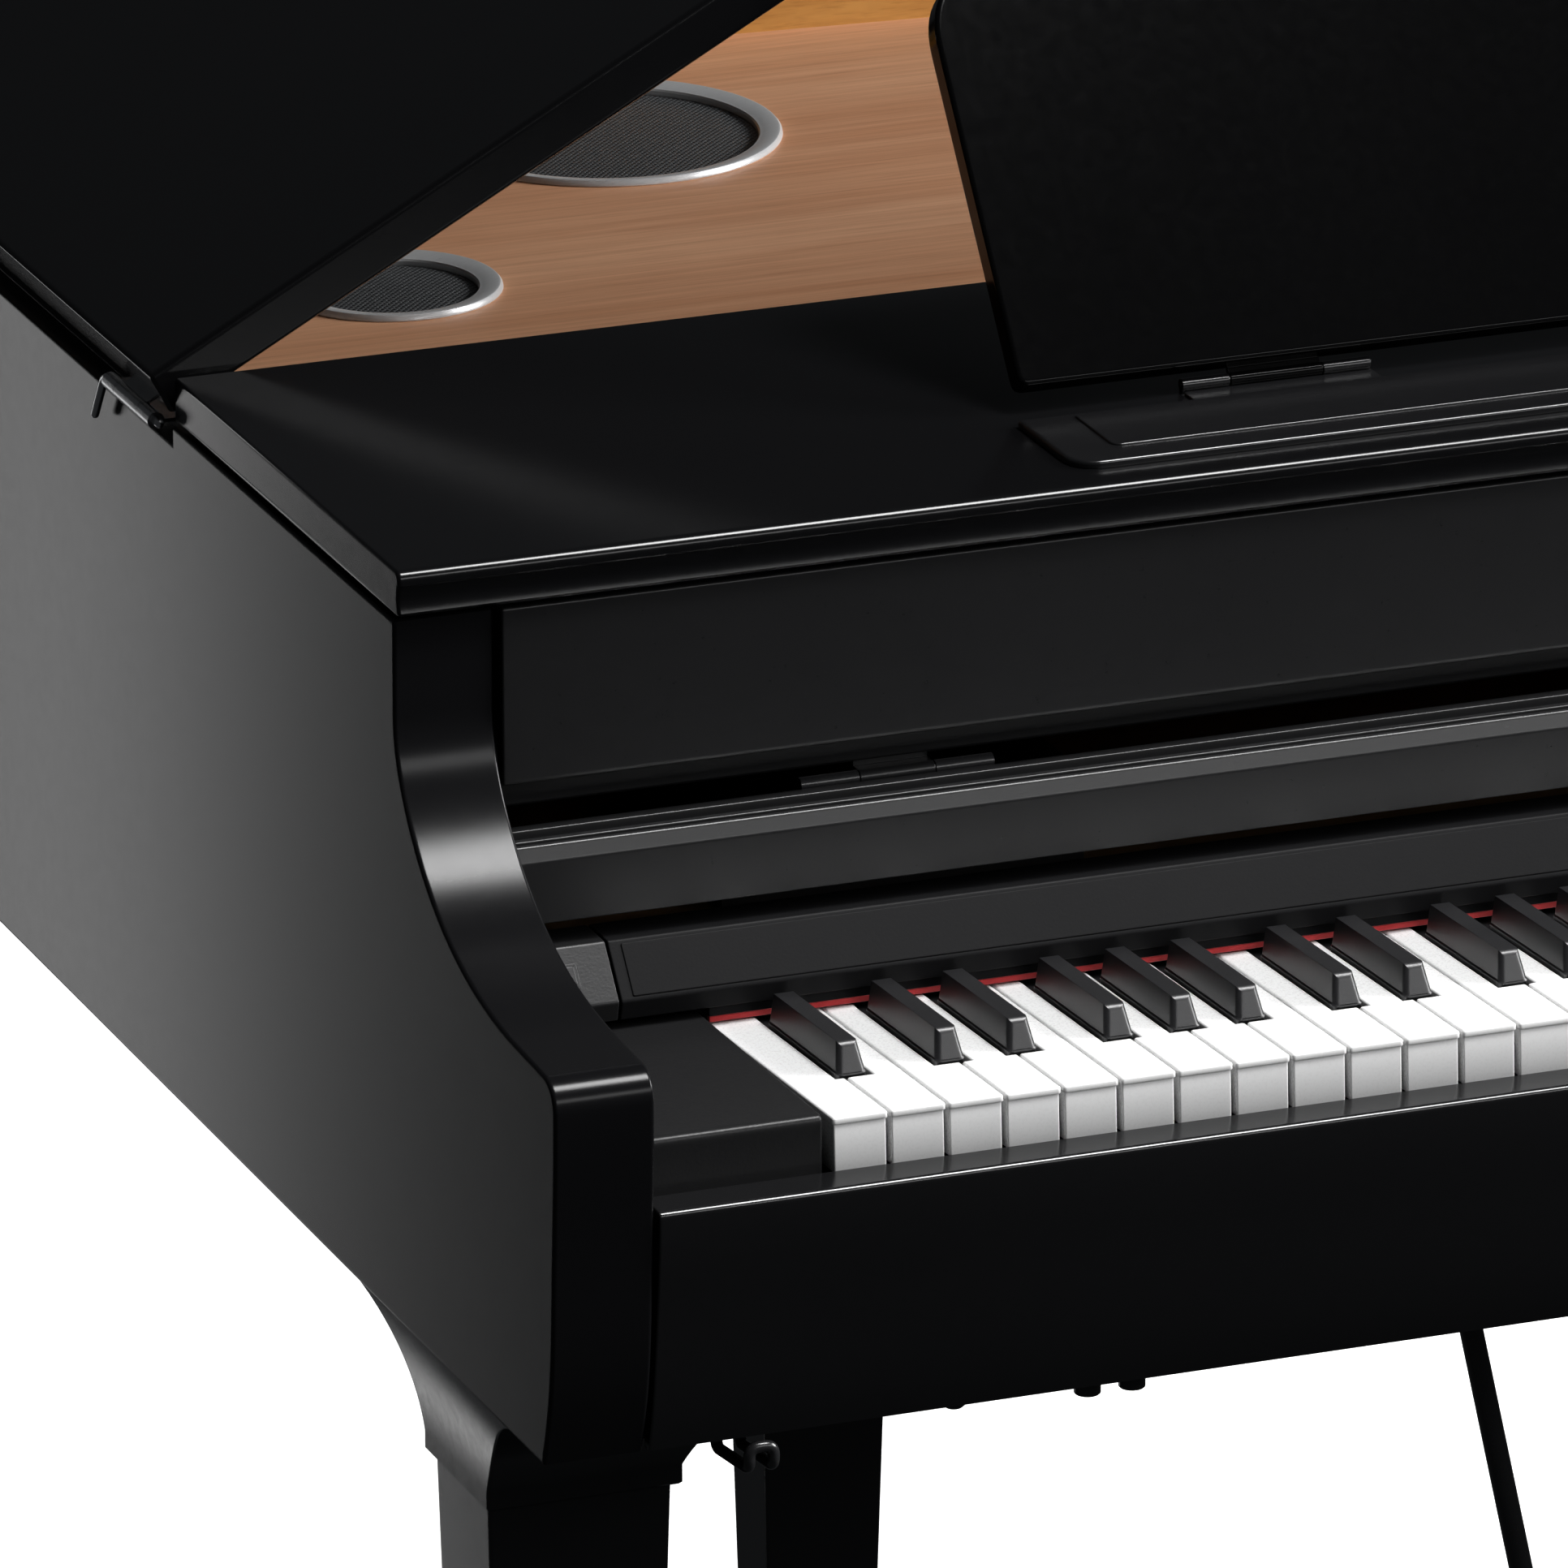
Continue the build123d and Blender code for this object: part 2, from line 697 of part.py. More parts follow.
def lid_stay():
    """Prop that holds the lid open, drawn flat and turned up to its rest angle."""
    length = stay_length()
    low, high = stay_z - stay_width / 2, stay_z + stay_width / 2
    bar = block(stay_x, stay_x + length, stay_y, stay_y + stay_thickness, low, high)
    for x in (stay_x, stay_x + length):
        bar += rod((x, stay_y, stay_z), (x, stay_y + stay_thickness, stay_z), stay_width / 2)
    hole = stay_pin_radius + pin_clearance
    bar -= rod((stay_x, stay_y - 1, stay_z), (stay_x, stay_y + stay_thickness + 1, stay_z), hole)
    return bar.rotate(Axis((stay_x, 0, stay_z), (0, 1, 0)), -stay_angle)


def stay_bracket():
    """Plate and pivot pin of the lid stay, on the back of the front beam."""
    y0 = back(top_board_back)
    plate = block(stay_x - 22, stay_x + 22, y0, y0 + 5, stay_z - 9, stay_z + 9)
    shoulder = rod((stay_x, y0 + 5, stay_z), (stay_x, stay_y - 0.4, stay_z), 8)
    pin = rod((stay_x, y0 + 5, stay_z), (stay_x, stay_y + stay_thickness + 0.6, stay_z), stay_pin_radius)
    head = rod(
        (stay_x, stay_y + stay_thickness + 0.5, stay_z), (stay_x, stay_y + stay_thickness + 3, stay_z), 7
    )
    return plate + shoulder + pin + head


# ---------------------------------------------------------------- key cover
cover_hinge_places = [across(90), 0.0, -across(90)]
cover_reach = inner_half - cover_side_gap
cover_pivot = (back(cover_hinge_y), up(cover_hinge_z))
fold_pivot = (back(cover_fold_y), up(cover_fold_z))


def tube_x(x0, x1, pivot, outer, inner):
    """Barrel along X about a pivot line."""
    y, z = pivot
    return rod((x0, y, z), (x1, y, z), outer) - rod((x0 - 1, y, z), (x1 + 1, y, z), inner)


def cover_hinge_leaf(x):
    """Fixed leaf behind the cover rail: two knuckles and the pin."""
    y, z = cover_pivot
    bore = cover_pin
    plate = block(x - 40, x + 40, back(159.5), back(159.5) + 1.6, up(46), up(68))
    ends = tube_x(x - 40, x - 16, cover_pivot, cover_knuckle, bore) + tube_x(
        x + 16, x + 40, cover_pivot, cover_knuckle, bore
    )
    webs = block(x - 40, x - 16, back(159.5), back(161.1), up(66), z) + block(
        x + 16, x + 40, back(159.5), back(161.1), up(66), z
    )
    pin = rod((x - 40, y, z), (x + 40, y, z), cover_pin)
    return plate + ends + webs + pin


def cover_board():
    """Upper leaf of the key cover, on the rail's hinges, with its knuckles."""
    y, z = cover_pivot
    y0 = back(cover_board_front)
    top = up(cover_fold_z - cover_fold_room)
    board = block(-cover_reach, cover_reach, y0, y0 + cover_board_thickness, up(78), top)
    bore = cover_pin + pin_clearance
    for x in cover_hinge_places:
        arm = block(x - 15.5, x + 15.5, y, y0 + cover_board_thickness, z - 0.2, z + 3.0)
        arm += block(x - 15.5, x + 15.5, y0, y0 + cover_board_thickness, z, up(78))
        board += arm + tube_x(x - 15.5, x + 15.5, cover_pivot, cover_knuckle, bore)
        board -= rod((x - 20, y, z), (x + 20, y, z), bore)
    fy, fz = fold_pivot
    for x in cover_hinge_places:
        for x0, x1 in ((x - 30, x - 12), (x + 12, x + 30)):
            board += block(x0, x1, fy - 0.8, fy + 0.8, fz - cover_fold_room - 1.5, fz)
            board += block(x0, x1, fy - 0.8, y0 + 1, fz - cover_fold_room - 1.5, fz - cover_fold_room)
            board += tube_x(x0, x1, fold_pivot, 2.6, fold_pin)
        board -= rod((x - 31, fy, fz), (x + 31, fy, fz), fold_pin)
        board += rod((x - 30, fy, fz), (x + 30, fy, fz), fold_pin)
    return board


def cover_flap():
    """Front leaf of the key cover, folded down in front of the upper leaf."""
    y0 = back(cover_flap_front)
    y1 = y0 + cover_flap_thickness
    flap = block(-cover_reach, cover_reach, y0, y1, up(cover_flap_bottom), up(cover_fold_z))
    fy, fz = fold_pivot
    bore = fold_pin + pin_clearance
    for x in cover_hinge_places:
        flap += block(x - 11.5, x + 11.5, y0 + cover_flap_thickness - 1, fy, fz - 2.6, fz - 0.8)
        flap += tube_x(x - 11.5, x + 11.5, fold_pivot, 2.6, bore)
        flap -= rod((x - 11.6, fy, fz), (x + 11.6, fy, fz), bore)
    return flap


# ---------------------------------------------------------------- music rest
rest_pivot = (back(rest_hinge_y), board_top_z + rest_hinge_rise)
rest_axis = Axis((0, *rest_pivot), (1, 0, 0))


def music_rest():
    """Music rest panel with rounded top corners, drawn folded flat and raised to its lean."""
    y, z = rest_pivot
    z0 = board_top_z + rest_lift
    sheet = Pos(0, y + rest_length / 2) * Rectangle(rest_width, rest_length)
    sheet = fillet(sheet.vertices().group_by(Axis.Y)[-1], rest_corner)
    panel = extrude(Plane.XY.offset(z0) * sheet, amount=rest_thickness)
    for x in rest_hinges:
        panel -= block(x - 42, x + 42, y - 1, y + rest_knuckle + 1.2, z0 - 1, z0 + rest_thickness + 1)
        panel += block(x - 19.5, x + 19.5, y, y + rest_knuckle + 3, z - 0.8, z + 0.8)
        panel += tube_x(x - 19.5, x + 19.5, rest_pivot, rest_knuckle, rest_pin + pin_clearance)
        panel -= rod((x - 20, y, z), (x + 20, y, z), rest_pin + pin_clearance)
    return panel.rotate(rest_axis, 90 - rest_lean)


def rest_hinge_base(x):
    """Hinge plate of the music rest, on the top board."""
    y, z = rest_pivot
    plate = block(x - 40, x + 40, y - 14, y - rest_knuckle - 0.4, board_top_z, board_top_z + 1.2)
    ears = [
        block(x + a, x + b, y - rest_knuckle - 1.4, y, board_top_z, board_top_z + 1.2)
        + block(x + a, x + b, y - 0.8, y + 0.8, board_top_z, z)
        + rod((x + a, y, z), (x + b, y, z), rest_knuckle)
        for a, b in ((-40, -20), (20, 40))
    ]
    pin = rod((x - 40, y, z), (x + 40, y, z), rest_pin)
    return plate + ears[0] + ears[1] + pin


def music_ledge():
    """Tray in front of the music rest and the rest's two hinge bases."""
    reach = rest_width / 2 + tray_margin
    sheet = Pos(0, back((tray_front + tray_back) / 2)) * Rectangle(2 * reach, tray_back - tray_front)
    sheet = fillet(sheet.vertices().group_by(Axis.Y)[0], 12)
    tray = extrude(Plane.XY.offset(board_top_z) * sheet, amount=tray_thickness)
    return group([tray, *(rest_hinge_base(x) for x in rest_hinges)])


# ---------------------------------------------------------------- legs
leg_centres = [
    (-half + leg_inset + capital_x / 2, back(leg_front_y) + capital_y / 2),
    (half - leg_inset - capital_x / 2, back(leg_front_y) + capital_y / 2),
    (across(rear_leg[0]), back(rear_leg[1])),
]
capital_bottom_z = rim_bottom_z - capital_height


def flare_face(half_width, spread_low, spread_high):
    """Front view of a capital: straight foot, then hollow curves out to the top."""
    z0, z1, z2 = capital_bottom_z, capital_bottom_z + capital_foot, rim_bottom_z
    left, right = -half_width, half_width
    mid = (z1 + z2) / 2 + 4
    edges = [
        Line((left, z0), (right, z0)),
        Line((right, z0), (right, z1)),
        ThreePointArc((right, z1), (right + 0.36 * spread_high, mid), (right + spread_high, z2)),
        Line((right + spread_high, z2), (left - spread_low, z2)),
        ThreePointArc((left - spread_low, z2), (left - 0.36 * spread_low, mid), (left, z1)),
        Line((left, z1), (left, z0)),
    ]
    return make_face(edges)


def capital(centre, spread_left, spread_right):
    """Flared block between a leg and the case."""
    x, y = centre
    reach = capital_y + 2 * capital_flare
    front_view = extrude(
        front_plane(y + reach / 2) * Pos(x, 0) * flare_face(capital_x / 2, spread_left, spread_right),
        amount=reach,
    )
    width = capital_x + spread_left + spread_right + 2
    side_view = extrude(
        side_plane(x - capital_x / 2 - spread_left - 1) * Pos(y, 0)
        * flare_face(capital_y / 2, capital_flare, capital_flare),
        amount=width,
    )
    return front_view & side_view


def leg(centre):
    """Tapered square leg."""
    x, y = centre
    drop = capital_bottom_z - glide_height
    top = Plane.XY.offset(capital_bottom_z) * Pos(x, y) * Rectangle(leg_top_x, leg_top_y)
    shrink = 2 * leg_taper * drop
    foot = Plane.XY.offset(glide_height) * Pos(x, y) * Rectangle(leg_top_x - shrink, leg_top_y - shrink)
    return loft([foot, top])


def glide(centre):
    """Round foot under a leg."""
    x, y = centre
    foot = Pos(x, y, glide_height / 2) * Cylinder(glide_radius, glide_height)
    return chamfer(foot.edges().sort_by(Axis.Z)[0], 1.5)


# ---------------------------------------------------------------- pedal lyre
pedal_places = (-pedal_spacing, 0.0, pedal_spacing)
pedal_slot_gap = 3.0


def pedal_box():
    """Hollow pedal housing with three slots in its front wall."""
    x0, x1 = -pedal_box_width / 2, pedal_box_width / 2
    y0, y1 = back(pedal_box_front), back(pedal_box_back)
    shell = block(x0, x1, y0, y1, pedal_box_bottom, pedal_box_top)
    shell -= block(
        x0 + pedal_wall, x1 - pedal_wall, y0 + pedal_wall, y1 - pedal_wall,
        pedal_box_bottom - 1, pedal_box_top - pedal_wall,
    )
    for x in pedal_places:
        reach = pedal_width / 2 + pedal_slot_gap
        shell -= block(x - reach, x + reach, y0 - 1, y0 + pedal_wall + 1, pedal_z - 24, pedal_z + 8)
    return shell


def pedal_shaft():
    """Steel shaft that the three pedals turn on."""
    x = pedal_box_width / 2 - pedal_wall
    y = back(pedal_shaft_y)
    return rod((-x, y, pedal_z), (x, y, pedal_z), pedal_shaft_radius)


def pedal(x):
    """Brass pedal: rounded toe, straight tail, hub on the shaft."""
    y_tip, y_shaft = back(pedal_tip), back(pedal_shaft_y)
    reach = pedal_width / 2
    left_side = [(x - 9, y_tip + 70), (x - reach, y_tip + 30), (x - reach, y_tip + reach)]
    right_side = [(x + reach, y_tip + reach), (x + reach, y_tip + 30), (x + 9, y_tip + 70)]
    sheet = make_face([
        Line((x - 9, y_shaft), (x - 9, y_tip + 70)),
        Spline(*left_side, tangents=[(0, -1), (0, -1)]),
        ThreePointArc((x - reach, y_tip + reach), (x, y_tip), (x + reach, y_tip + reach)),
        Spline(*right_side, tangents=[(0, 1), (0, 1)]),
        Line((x + 9, y_tip + 70), (x + 9, y_shaft)),
        Line((x + 9, y_shaft), (x - 9, y_shaft)),
    ])
    body = extrude(Plane.XY.offset(pedal_z - pedal_thickness / 2) * sheet, amount=pedal_thickness)
    hub = rod((x - 9, y_shaft, pedal_z), (x + 9, y_shaft, pedal_z), 9)
    hole = pedal_shaft_radius + pin_clearance
    return body + hub - rod((x - 12, y_shaft, pedal_z), (x + 12, y_shaft, pedal_z), hole)


def lyre_post(x):
    """Turned post between the key bed and the pedal housing."""
    return rod((x, back(post_y), pedal_box_top), (x, back(post_y), bed_z), post_radius)


def lyre_stay(sign):
    """Slim rod from the pedal housing out to the key bed."""
    top = (sign * (pedal_box_width / 2 + stay_rod_splay), back(stay_rod_top_y), bed_z)
    foot = (sign * (pedal_box_width / 2 - stay_rod_inset), back(stay_rod_foot_y), pedal_box_top)
    run = Vector(*top) - Vector(*foot)
    step = run * (12.0 / run.length)
    bar = rod(tuple(Vector(*foot) - step), tuple(Vector(*top) + step), stay_rod_radius)
    return bar & block(-half, half, front_y, tail_y, pedal_box_top, bed_z)


# ---------------------------------------------------------------- fittings under the key bed
def phones_box():
    """Socket housing under the key bed."""
    return block(across(90), across(160), back(12), back(64), bed_z - box_drop, bed_z)


def phones_socket(x):
    """Threaded bushing of a headphone socket, open at the bottom."""
    z1 = bed_z - box_drop
    z0 = up(-socket_end)
    body = rod((across(x), back(socket_y), z0), (across(x), back(socket_y), z1), socket_radius)
    return body - rod((across(x), back(socket_y), z0 - 1), (across(x), back(socket_y), z1 - 1), socket_bore)


def headphone_hanger():
    """Hook bent from one wire, two legs joined at the tip, and the screw beside it."""
    near, far = across(hanger_x), across(hanger_x + hanger_width)
    leg_y, tip_y = back(hanger_back), back(hanger_tip)
    path = FilletPolyline(
        (near, leg_y, bed_z), (near, leg_y, up(-138)), (near, tip_y, up(-134)), (near, tip_y, up(-125.5)),
        (far, tip_y, up(-125.5)), (far, tip_y, up(-134)), (far, leg_y, up(-138)), (far, leg_y, bed_z),
        radius=4.0,
    )
    wire = sweep(Plane(origin=(near, leg_y, bed_z), z_dir=(0, 0, -1)) * Circle(hanger_wire / 2), path=path)
    screw_x, screw_y = across(screw_station), back(socket_y)
    screw = rod((screw_x, screw_y, bed_z), (screw_x, screw_y, up(-136.9)), 4.8)
    return group([wire, screw])


# Screws that hold the keyboard chassis, put in from under the key bed.
frame_screws = [(x, 35.0) for x in (-540.0, -180.0, 180.0, 540.0)] + [
    (x, key_pivot_back) for x in (-540.0, -180.0, 180.0, 540.0)
]


def screw_holes(z0, z1):
    """Clearance holes for the chassis screws."""
    return [Pos(x, back(y), (z0 + z1) / 2) * Cylinder(screw_radius + 0.1, z1 - z0) for x, y in frame_screws]


def chassis_screw(x, y):
    """Round-headed screw: head under the bed, shank up into the chassis."""
    head = Pos(x, back(y), bed_z - 1.5) * Cylinder(2 * screw_radius, 3)
    top = bed_z + bed_thickness + screw_bite
    return head + Pos(x, back(y), (bed_z - 1.5 + top) / 2) * Cylinder(screw_radius, top - bed_z + 1.5)


# ---------------------------------------------------------------- nodes
def all_nodes():
    """Every node of the piano by name."""
    nodes = {
        "left_side_panel": side_panel(-half, spine_y),
        "right_side_panel": side_panel(half - rim_thickness, shoulder_y),
        "bent_rim": bent_rim(),
        "key_bed": key_bed(),
        "bottom_board": bottom_board(),
        "key_slip": key_slip(),
        "cheek_blocks": group([cheek_block(-1), cheek_block(1)]),
        "control_bar": control_bar(),
        "bar_end_blocks": group([bar_end_block(-1), bar_end_block(1)]),
        "power_switch": power_switch(),
        "key_felt": key_felt(),
        "cover_rail": cover_rail(),
        "top_board": top_board(),
        "front_beam": front_beam(),
        "soundboard": soundboard(),
        "rear_ledge": rear_ledge(),
        "speaker_rings": group(speaker_ring(*s) for s in speakers),
        "speaker_grilles": group(speaker_grille(*s) for s in speakers),
        "speaker_drivers": group(speaker_driver(*s) for s in speakers),
        "circuit_boards": circuit_boards(),
        "power_supply": power_supply(),
        "socket_panel": socket_panel(),
        "key_frame": key_frame(),
        "lid_panel": lid_panel(),
        "lid_hinge_leaves": group(lid_hinge_leaf(y) for y in lid_hinge_stations),
        "rim_hinge_leaves": group(rim_hinge_leaf(y) for y in lid_hinge_stations),
        "lid_hinge_pins": group(lid_hinge_pin(y) for y in lid_hinge_stations),
        "lid_stay": lid_stay(),
        "stay_bracket": stay_bracket(),
        "cover_hinge_leaves": group(cover_hinge_leaf(x) for x in cover_hinge_places),
        "cover_board": cover_board(),
        "cover_flap": cover_flap(),
        "music_rest": music_rest(),
        "music_ledge": music_ledge(),
        "leg_capitals": group([
            capital(leg_centres[0], leg_inset - 1, capital_flare),
            capital(leg_centres[1], capital_flare, leg_inset - 1),
            capital(leg_centres[2], capital_flare, capital_flare),
        ]),
        "legs": group(leg(c) for c in leg_centres),
        "leg_glides": group(glide(c) for c in leg_centres),
        "pedal_box": pedal_box(),
        "pedal_shaft": pedal_shaft(),
        "lyre_posts": group(lyre_post(x) for x in (-post_spacing / 2, post_spacing / 2)),
        "lyre_stays": group(lyre_stay(s) for s in (-1, 1)),
        "phones_box": phones_box(),
        "phones_sockets": group(phones_socket(x) for x in socket_stations),
        "headphone_hanger": headphone_hanger(),
        "chassis_screws": group(chassis_screw(*place) for place in frame_screws),
    }
    for name, x in zip(("left_pedal", "middle_pedal", "right_pedal"), pedal_places):
        nodes[name] = pedal(x)
    nodes.update(key_nodes())
    return nodes


def main():
    os.makedirs("parts", exist_ok=True)
    for name, shape in all_nodes().items():
        export_step(shape, os.path.join("parts", name + ".step"))


main()
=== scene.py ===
"""Looks of the compact grand-shaped digital piano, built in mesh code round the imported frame.

Shapes are worked out in millimetres. Keyboard stations run from the bass end of the keys (x), back from
the white key fronts (y) and up from the white key tops (z); back(), up() and across() place them.
"""

import math

import bpy
import numpy as np
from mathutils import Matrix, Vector


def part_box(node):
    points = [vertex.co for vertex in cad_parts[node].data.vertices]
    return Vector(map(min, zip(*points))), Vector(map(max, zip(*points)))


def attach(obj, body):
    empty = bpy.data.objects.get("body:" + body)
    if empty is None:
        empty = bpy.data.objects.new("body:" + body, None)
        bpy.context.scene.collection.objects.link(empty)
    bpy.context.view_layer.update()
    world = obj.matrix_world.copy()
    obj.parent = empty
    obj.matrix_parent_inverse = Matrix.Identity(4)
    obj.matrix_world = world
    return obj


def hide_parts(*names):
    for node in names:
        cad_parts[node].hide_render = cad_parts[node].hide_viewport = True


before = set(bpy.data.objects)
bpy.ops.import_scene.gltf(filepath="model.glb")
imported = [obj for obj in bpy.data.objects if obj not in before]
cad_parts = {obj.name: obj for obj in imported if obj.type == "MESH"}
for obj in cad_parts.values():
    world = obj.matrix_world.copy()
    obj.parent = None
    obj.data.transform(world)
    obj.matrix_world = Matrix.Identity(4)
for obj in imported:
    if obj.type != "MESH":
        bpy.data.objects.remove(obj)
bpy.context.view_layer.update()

# ---------------------------------------------------------------- driving dimensions, millimetres
MM = 0.001
PITCH, KEY_GAP, KEY_HEIGHT, KEY_HEAD, KEY_REACH = 23.5, 1.0, 22.0, 45.0, 215.0
KEY_DIP, KEY_PIVOT_BACK, WHITE_KEYS = 10.0, 200.0, 52
BLACK_BASE, BLACK_TOP, BLACK_RISE, BLACK_SIDE_GAP = 12.8, 8.0, 12.0, 1.3
BLACK_FRONT, BLACK_TOP_FRONT, BLACK_CAP_BACK = 47.5, 52.0, 119.5
BLACK_SHIFT = {"c_sharp": -3.0, "d_sharp": 3.0, "f_sharp": -4.0, "g_sharp": 0.0, "a_sharp": 3.7}
WHITE_NAMES = ("a", "b", "c", "d", "e", "f", "g")
SHARP_AFTER = {"a": "a_sharp", "c": "c_sharp", "d": "d_sharp", "f": "f_sharp", "g": "g_sharp"}
ARM_OVERHANG, RIM_RISE, RIM_THICK = 22.0, 165.0, 40.0
REBATE_WIDE, REBATE_DEEP = 10.0, 8.0
SPINE_CORNER, TAIL_RADIUS, WAIST_RADIUS, SHOULDER_RADIUS = 170.0, 330.0, 600.0, 300.0
WAIST_TURN, SHOULDER_TURN, SHOULDER_FLAT = 35.0, 65.0, 60.0
LID_OPEN, LID_INSET, LID_LIFT, LID_THICK = 28.6, 1.3, 1.95, 19.1
HINGE_OUT, HINGE_RISE, HINGE_STATIONS, HINGE_LENGTH = 4.7, 1.0, (412.0, 860.0), 56.0
PIN_RADIUS, PIN_HANDLE, PIN_LEAN = 1.8, 24.0, 56.0
SPEAKERS = ((233.0, 862.0, 77.0), (74.0, 690.0, 47.0), (930.0, 720.0, 77.0), (1140.0, 610.0, 47.0))
SOUNDBOARD_RISE, RING_WIDE, RING_PROUD = 116.0, 9.0, 3.0
REST_WIDTH, REST_LENGTH, REST_THICK, REST_CORNER, REST_LEAN = 880.0, 178.0, 12.0, 25.0, 37.0
REST_HINGE_Y, REST_HINGE_RISE, REST_LIFT, REST_HINGES = 240.0, 3.0, 1.8, (-330.0, 330.0)


def corners(node):
    """Lowest and highest corner of a CAD node, in millimetres."""
    low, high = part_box(node)
    return np.array(low) / MM, np.array(high) / MM


side_low, side_high = corners("left_side_panel")
SHOULDER_Y = corners("right_side_panel")[1][1]
HALF, FRONT_Y, RIM_BOTTOM, RIM_TOP = -side_low[0], side_low[1], side_low[2], side_high[2]
SPINE_Y = side_high[1]
KEY_X = corners("key_felt")[0][0]
KEY_Y, KEY_TOP = FRONT_Y + ARM_OVERHANG, RIM_TOP - RIM_RISE
BOARD_TOP = corners("top_board")[1][2]
BED_Z = corners("key_bed")[0][2]
HINGE_X, HINGE_Z = -HALF - HINGE_OUT, RIM_TOP + HINGE_RISE
KEY_SLOPE = math.asin(KEY_DIP / KEY_PIVOT_BACK)


def back(y):
    """World Y of a station measured back from the white key fronts."""
    return KEY_Y + y


def up(z):
    """World Z of a height measured from the white key tops."""
    return KEY_TOP + z


def across(x):
    """World X of a place measured from the bass end of the keys."""
    return KEY_X + x


# ---------------------------------------------------------------- surfaces
def row(*points):
    """Points as an array, one to a row."""
    return np.array(points, float)


def rectangle(u0, v0, u1, v1):
    """Corners of an upright rectangle, anticlockwise from its lowest."""
    return row((u0, v0), (u1, v0), (u1, v1), (u0, v1))


def eased(points, ease, steps=5):
    """Closed outline with each corner replaced by a quadratic curve that leaves the two edges ease away from
    it, with one more point on each edge beyond, so that flat sides shade flat."""
    points = np.asarray(points, float)
    ease = np.broadcast_to(np.asarray(ease, float), len(points))[:, None]
    to_last = np.roll(points, 1, 0) - points
    to_next = np.roll(points, -1, 0) - points
    to_last /= np.linalg.norm(to_last, axis=1, keepdims=True)
    to_next /= np.linalg.norm(to_next, axis=1, keepdims=True)
    start, end = points + ease * to_last, points + ease * to_next
    t = np.linspace(0, 1, steps)[None, :, None]
    curve = (1 - t) ** 2 * start[:, None] + 2 * t * (1 - t) * points[:, None] + t ** 2 * end[:, None]
    band = [(points + 1.35 * ease * to_last)[:, None], curve, (points + 1.35 * ease * to_next)[:, None]]
    return np.concatenate(band, 1).reshape(-1, points.shape[1])


def through(points, first, last, samples):
    """Smooth cubic curve through points, with unit slopes first and last at its ends, its parameter the run
    of the chords. The inner slopes solve the usual equations that make the curvature continuous."""
    points = np.asarray(points, float)
    run = np.linalg.norm(np.diff(points, axis=0), axis=1)
    knots = np.concatenate([[0], np.cumsum(run)])
    count = len(points)
    system, known = np.eye(count), np.zeros_like(points)
    known[0] = np.asarray(first, float) / np.linalg.norm(first)
    known[-1] = np.asarray(last, float) / np.linalg.norm(last)
    inner = np.arange(1, count - 1)
    before, after = run[:-1], run[1:]
    system[inner, inner - 1] = after
    system[inner, inner] = 2 * (before + after)
    system[inner, inner + 1] = before
    step = np.diff(points, axis=0) / run[:, None]
    known[inner] = 3 * (after[:, None] * step[:-1] + before[:, None] * step[1:])
    slopes = np.linalg.solve(system, known)
    s = np.linspace(0, knots[-1], samples)
    k = np.clip(np.searchsorted(knots, s, side="right") - 1, 0, count - 2)
    h = run[k][:, None]
    t = (s - knots[k])[:, None] / h
    return (
        (2 * t ** 3 - 3 * t ** 2 + 1) * points[k] + (t ** 3 - 2 * t ** 2 + t) * h * slopes[k]
        + (-2 * t ** 3 + 3 * t ** 2) * points[k + 1] + (t ** 3 - t ** 2) * h * slopes[k + 1]
    )


def anticlockwise(outline):
    """The outline, turned round if its signed area is negative."""
    x, y = outline[:, 0], outline[:, 1]
    area = np.sum(x * np.roll(y, -1) - y * np.roll(x, -1))
    return outline if area > 0 else outline[::-1]


def ready(outline):
    """Outline, or its corners and eases, put in anticlockwise order."""
    if not isinstance(outline, tuple):
        return anticlockwise(np.asarray(outline, float))
    points, ease, steps = outline
    ease = np.broadcast_to(np.asarray(ease, float), len(points))
    return (points, ease, steps) if anticlockwise(points) is points else (points[::-1], ease[::-1], steps)


def ring_of(outline, inset):
    """Outline moved inwards. An outline given as (corners, ease, steps) is eased after its corners have
    moved, by what the inset leaves of the ease, so its rounded corners never cross."""
    if isinstance(outline, tuple):
        points, ease, steps = outline
        return eased(drawn_in(points, inset), (np.asarray(ease, float) - inset).clip(0.04), steps)
    return drawn_in(outline, inset)


def drawn_in(outline, inset):
    """Anticlockwise outline moved inwards: each corner moves along the sum of its two edges' inward
    normals, divided by one plus their product, so that every edge moves by inset."""
    last = outline - np.roll(outline, 1, 0)
    following = np.roll(last, -1, 0)
    last = last / np.linalg.norm(last, axis=1, keepdims=True)
    following = following / np.linalg.norm(following, axis=1, keepdims=True)
    one = np.stack([-last[:, 1], last[:, 0]], 1)
    two = np.stack([-following[:, 1], following[:, 0]], 1)
    return outline + inset * (one + two) / (1 + np.sum(one * two, 1, keepdims=True)).clip(0.3)


def skin(grid, closed_along=False, ends=True, flip=False):
    """Surface of a grid of points: rows follow each other, and each row is a closed loop. The two end
    rows are closed by flat faces unless the rows themselves close."""
    rows, count = grid.shape[:2]
    i = np.arange(rows if closed_along else rows - 1)[:, None]
    j = np.arange(count)[None, :]
    n, m = (i + 1) % rows, (j + 1) % count
    quads = np.stack([i * count + j, i * count + m, n * count + m, n * count + j], -1).reshape(-1, 4)
    faces = [quads]
    if ends and not closed_along:
        faces += [np.arange(count)[::-1][None], ((rows - 1) * count + np.arange(count))[None]]
    if flip:
        faces = [f[:, ::-1] for f in faces]
    return grid.reshape(-1, 3), faces


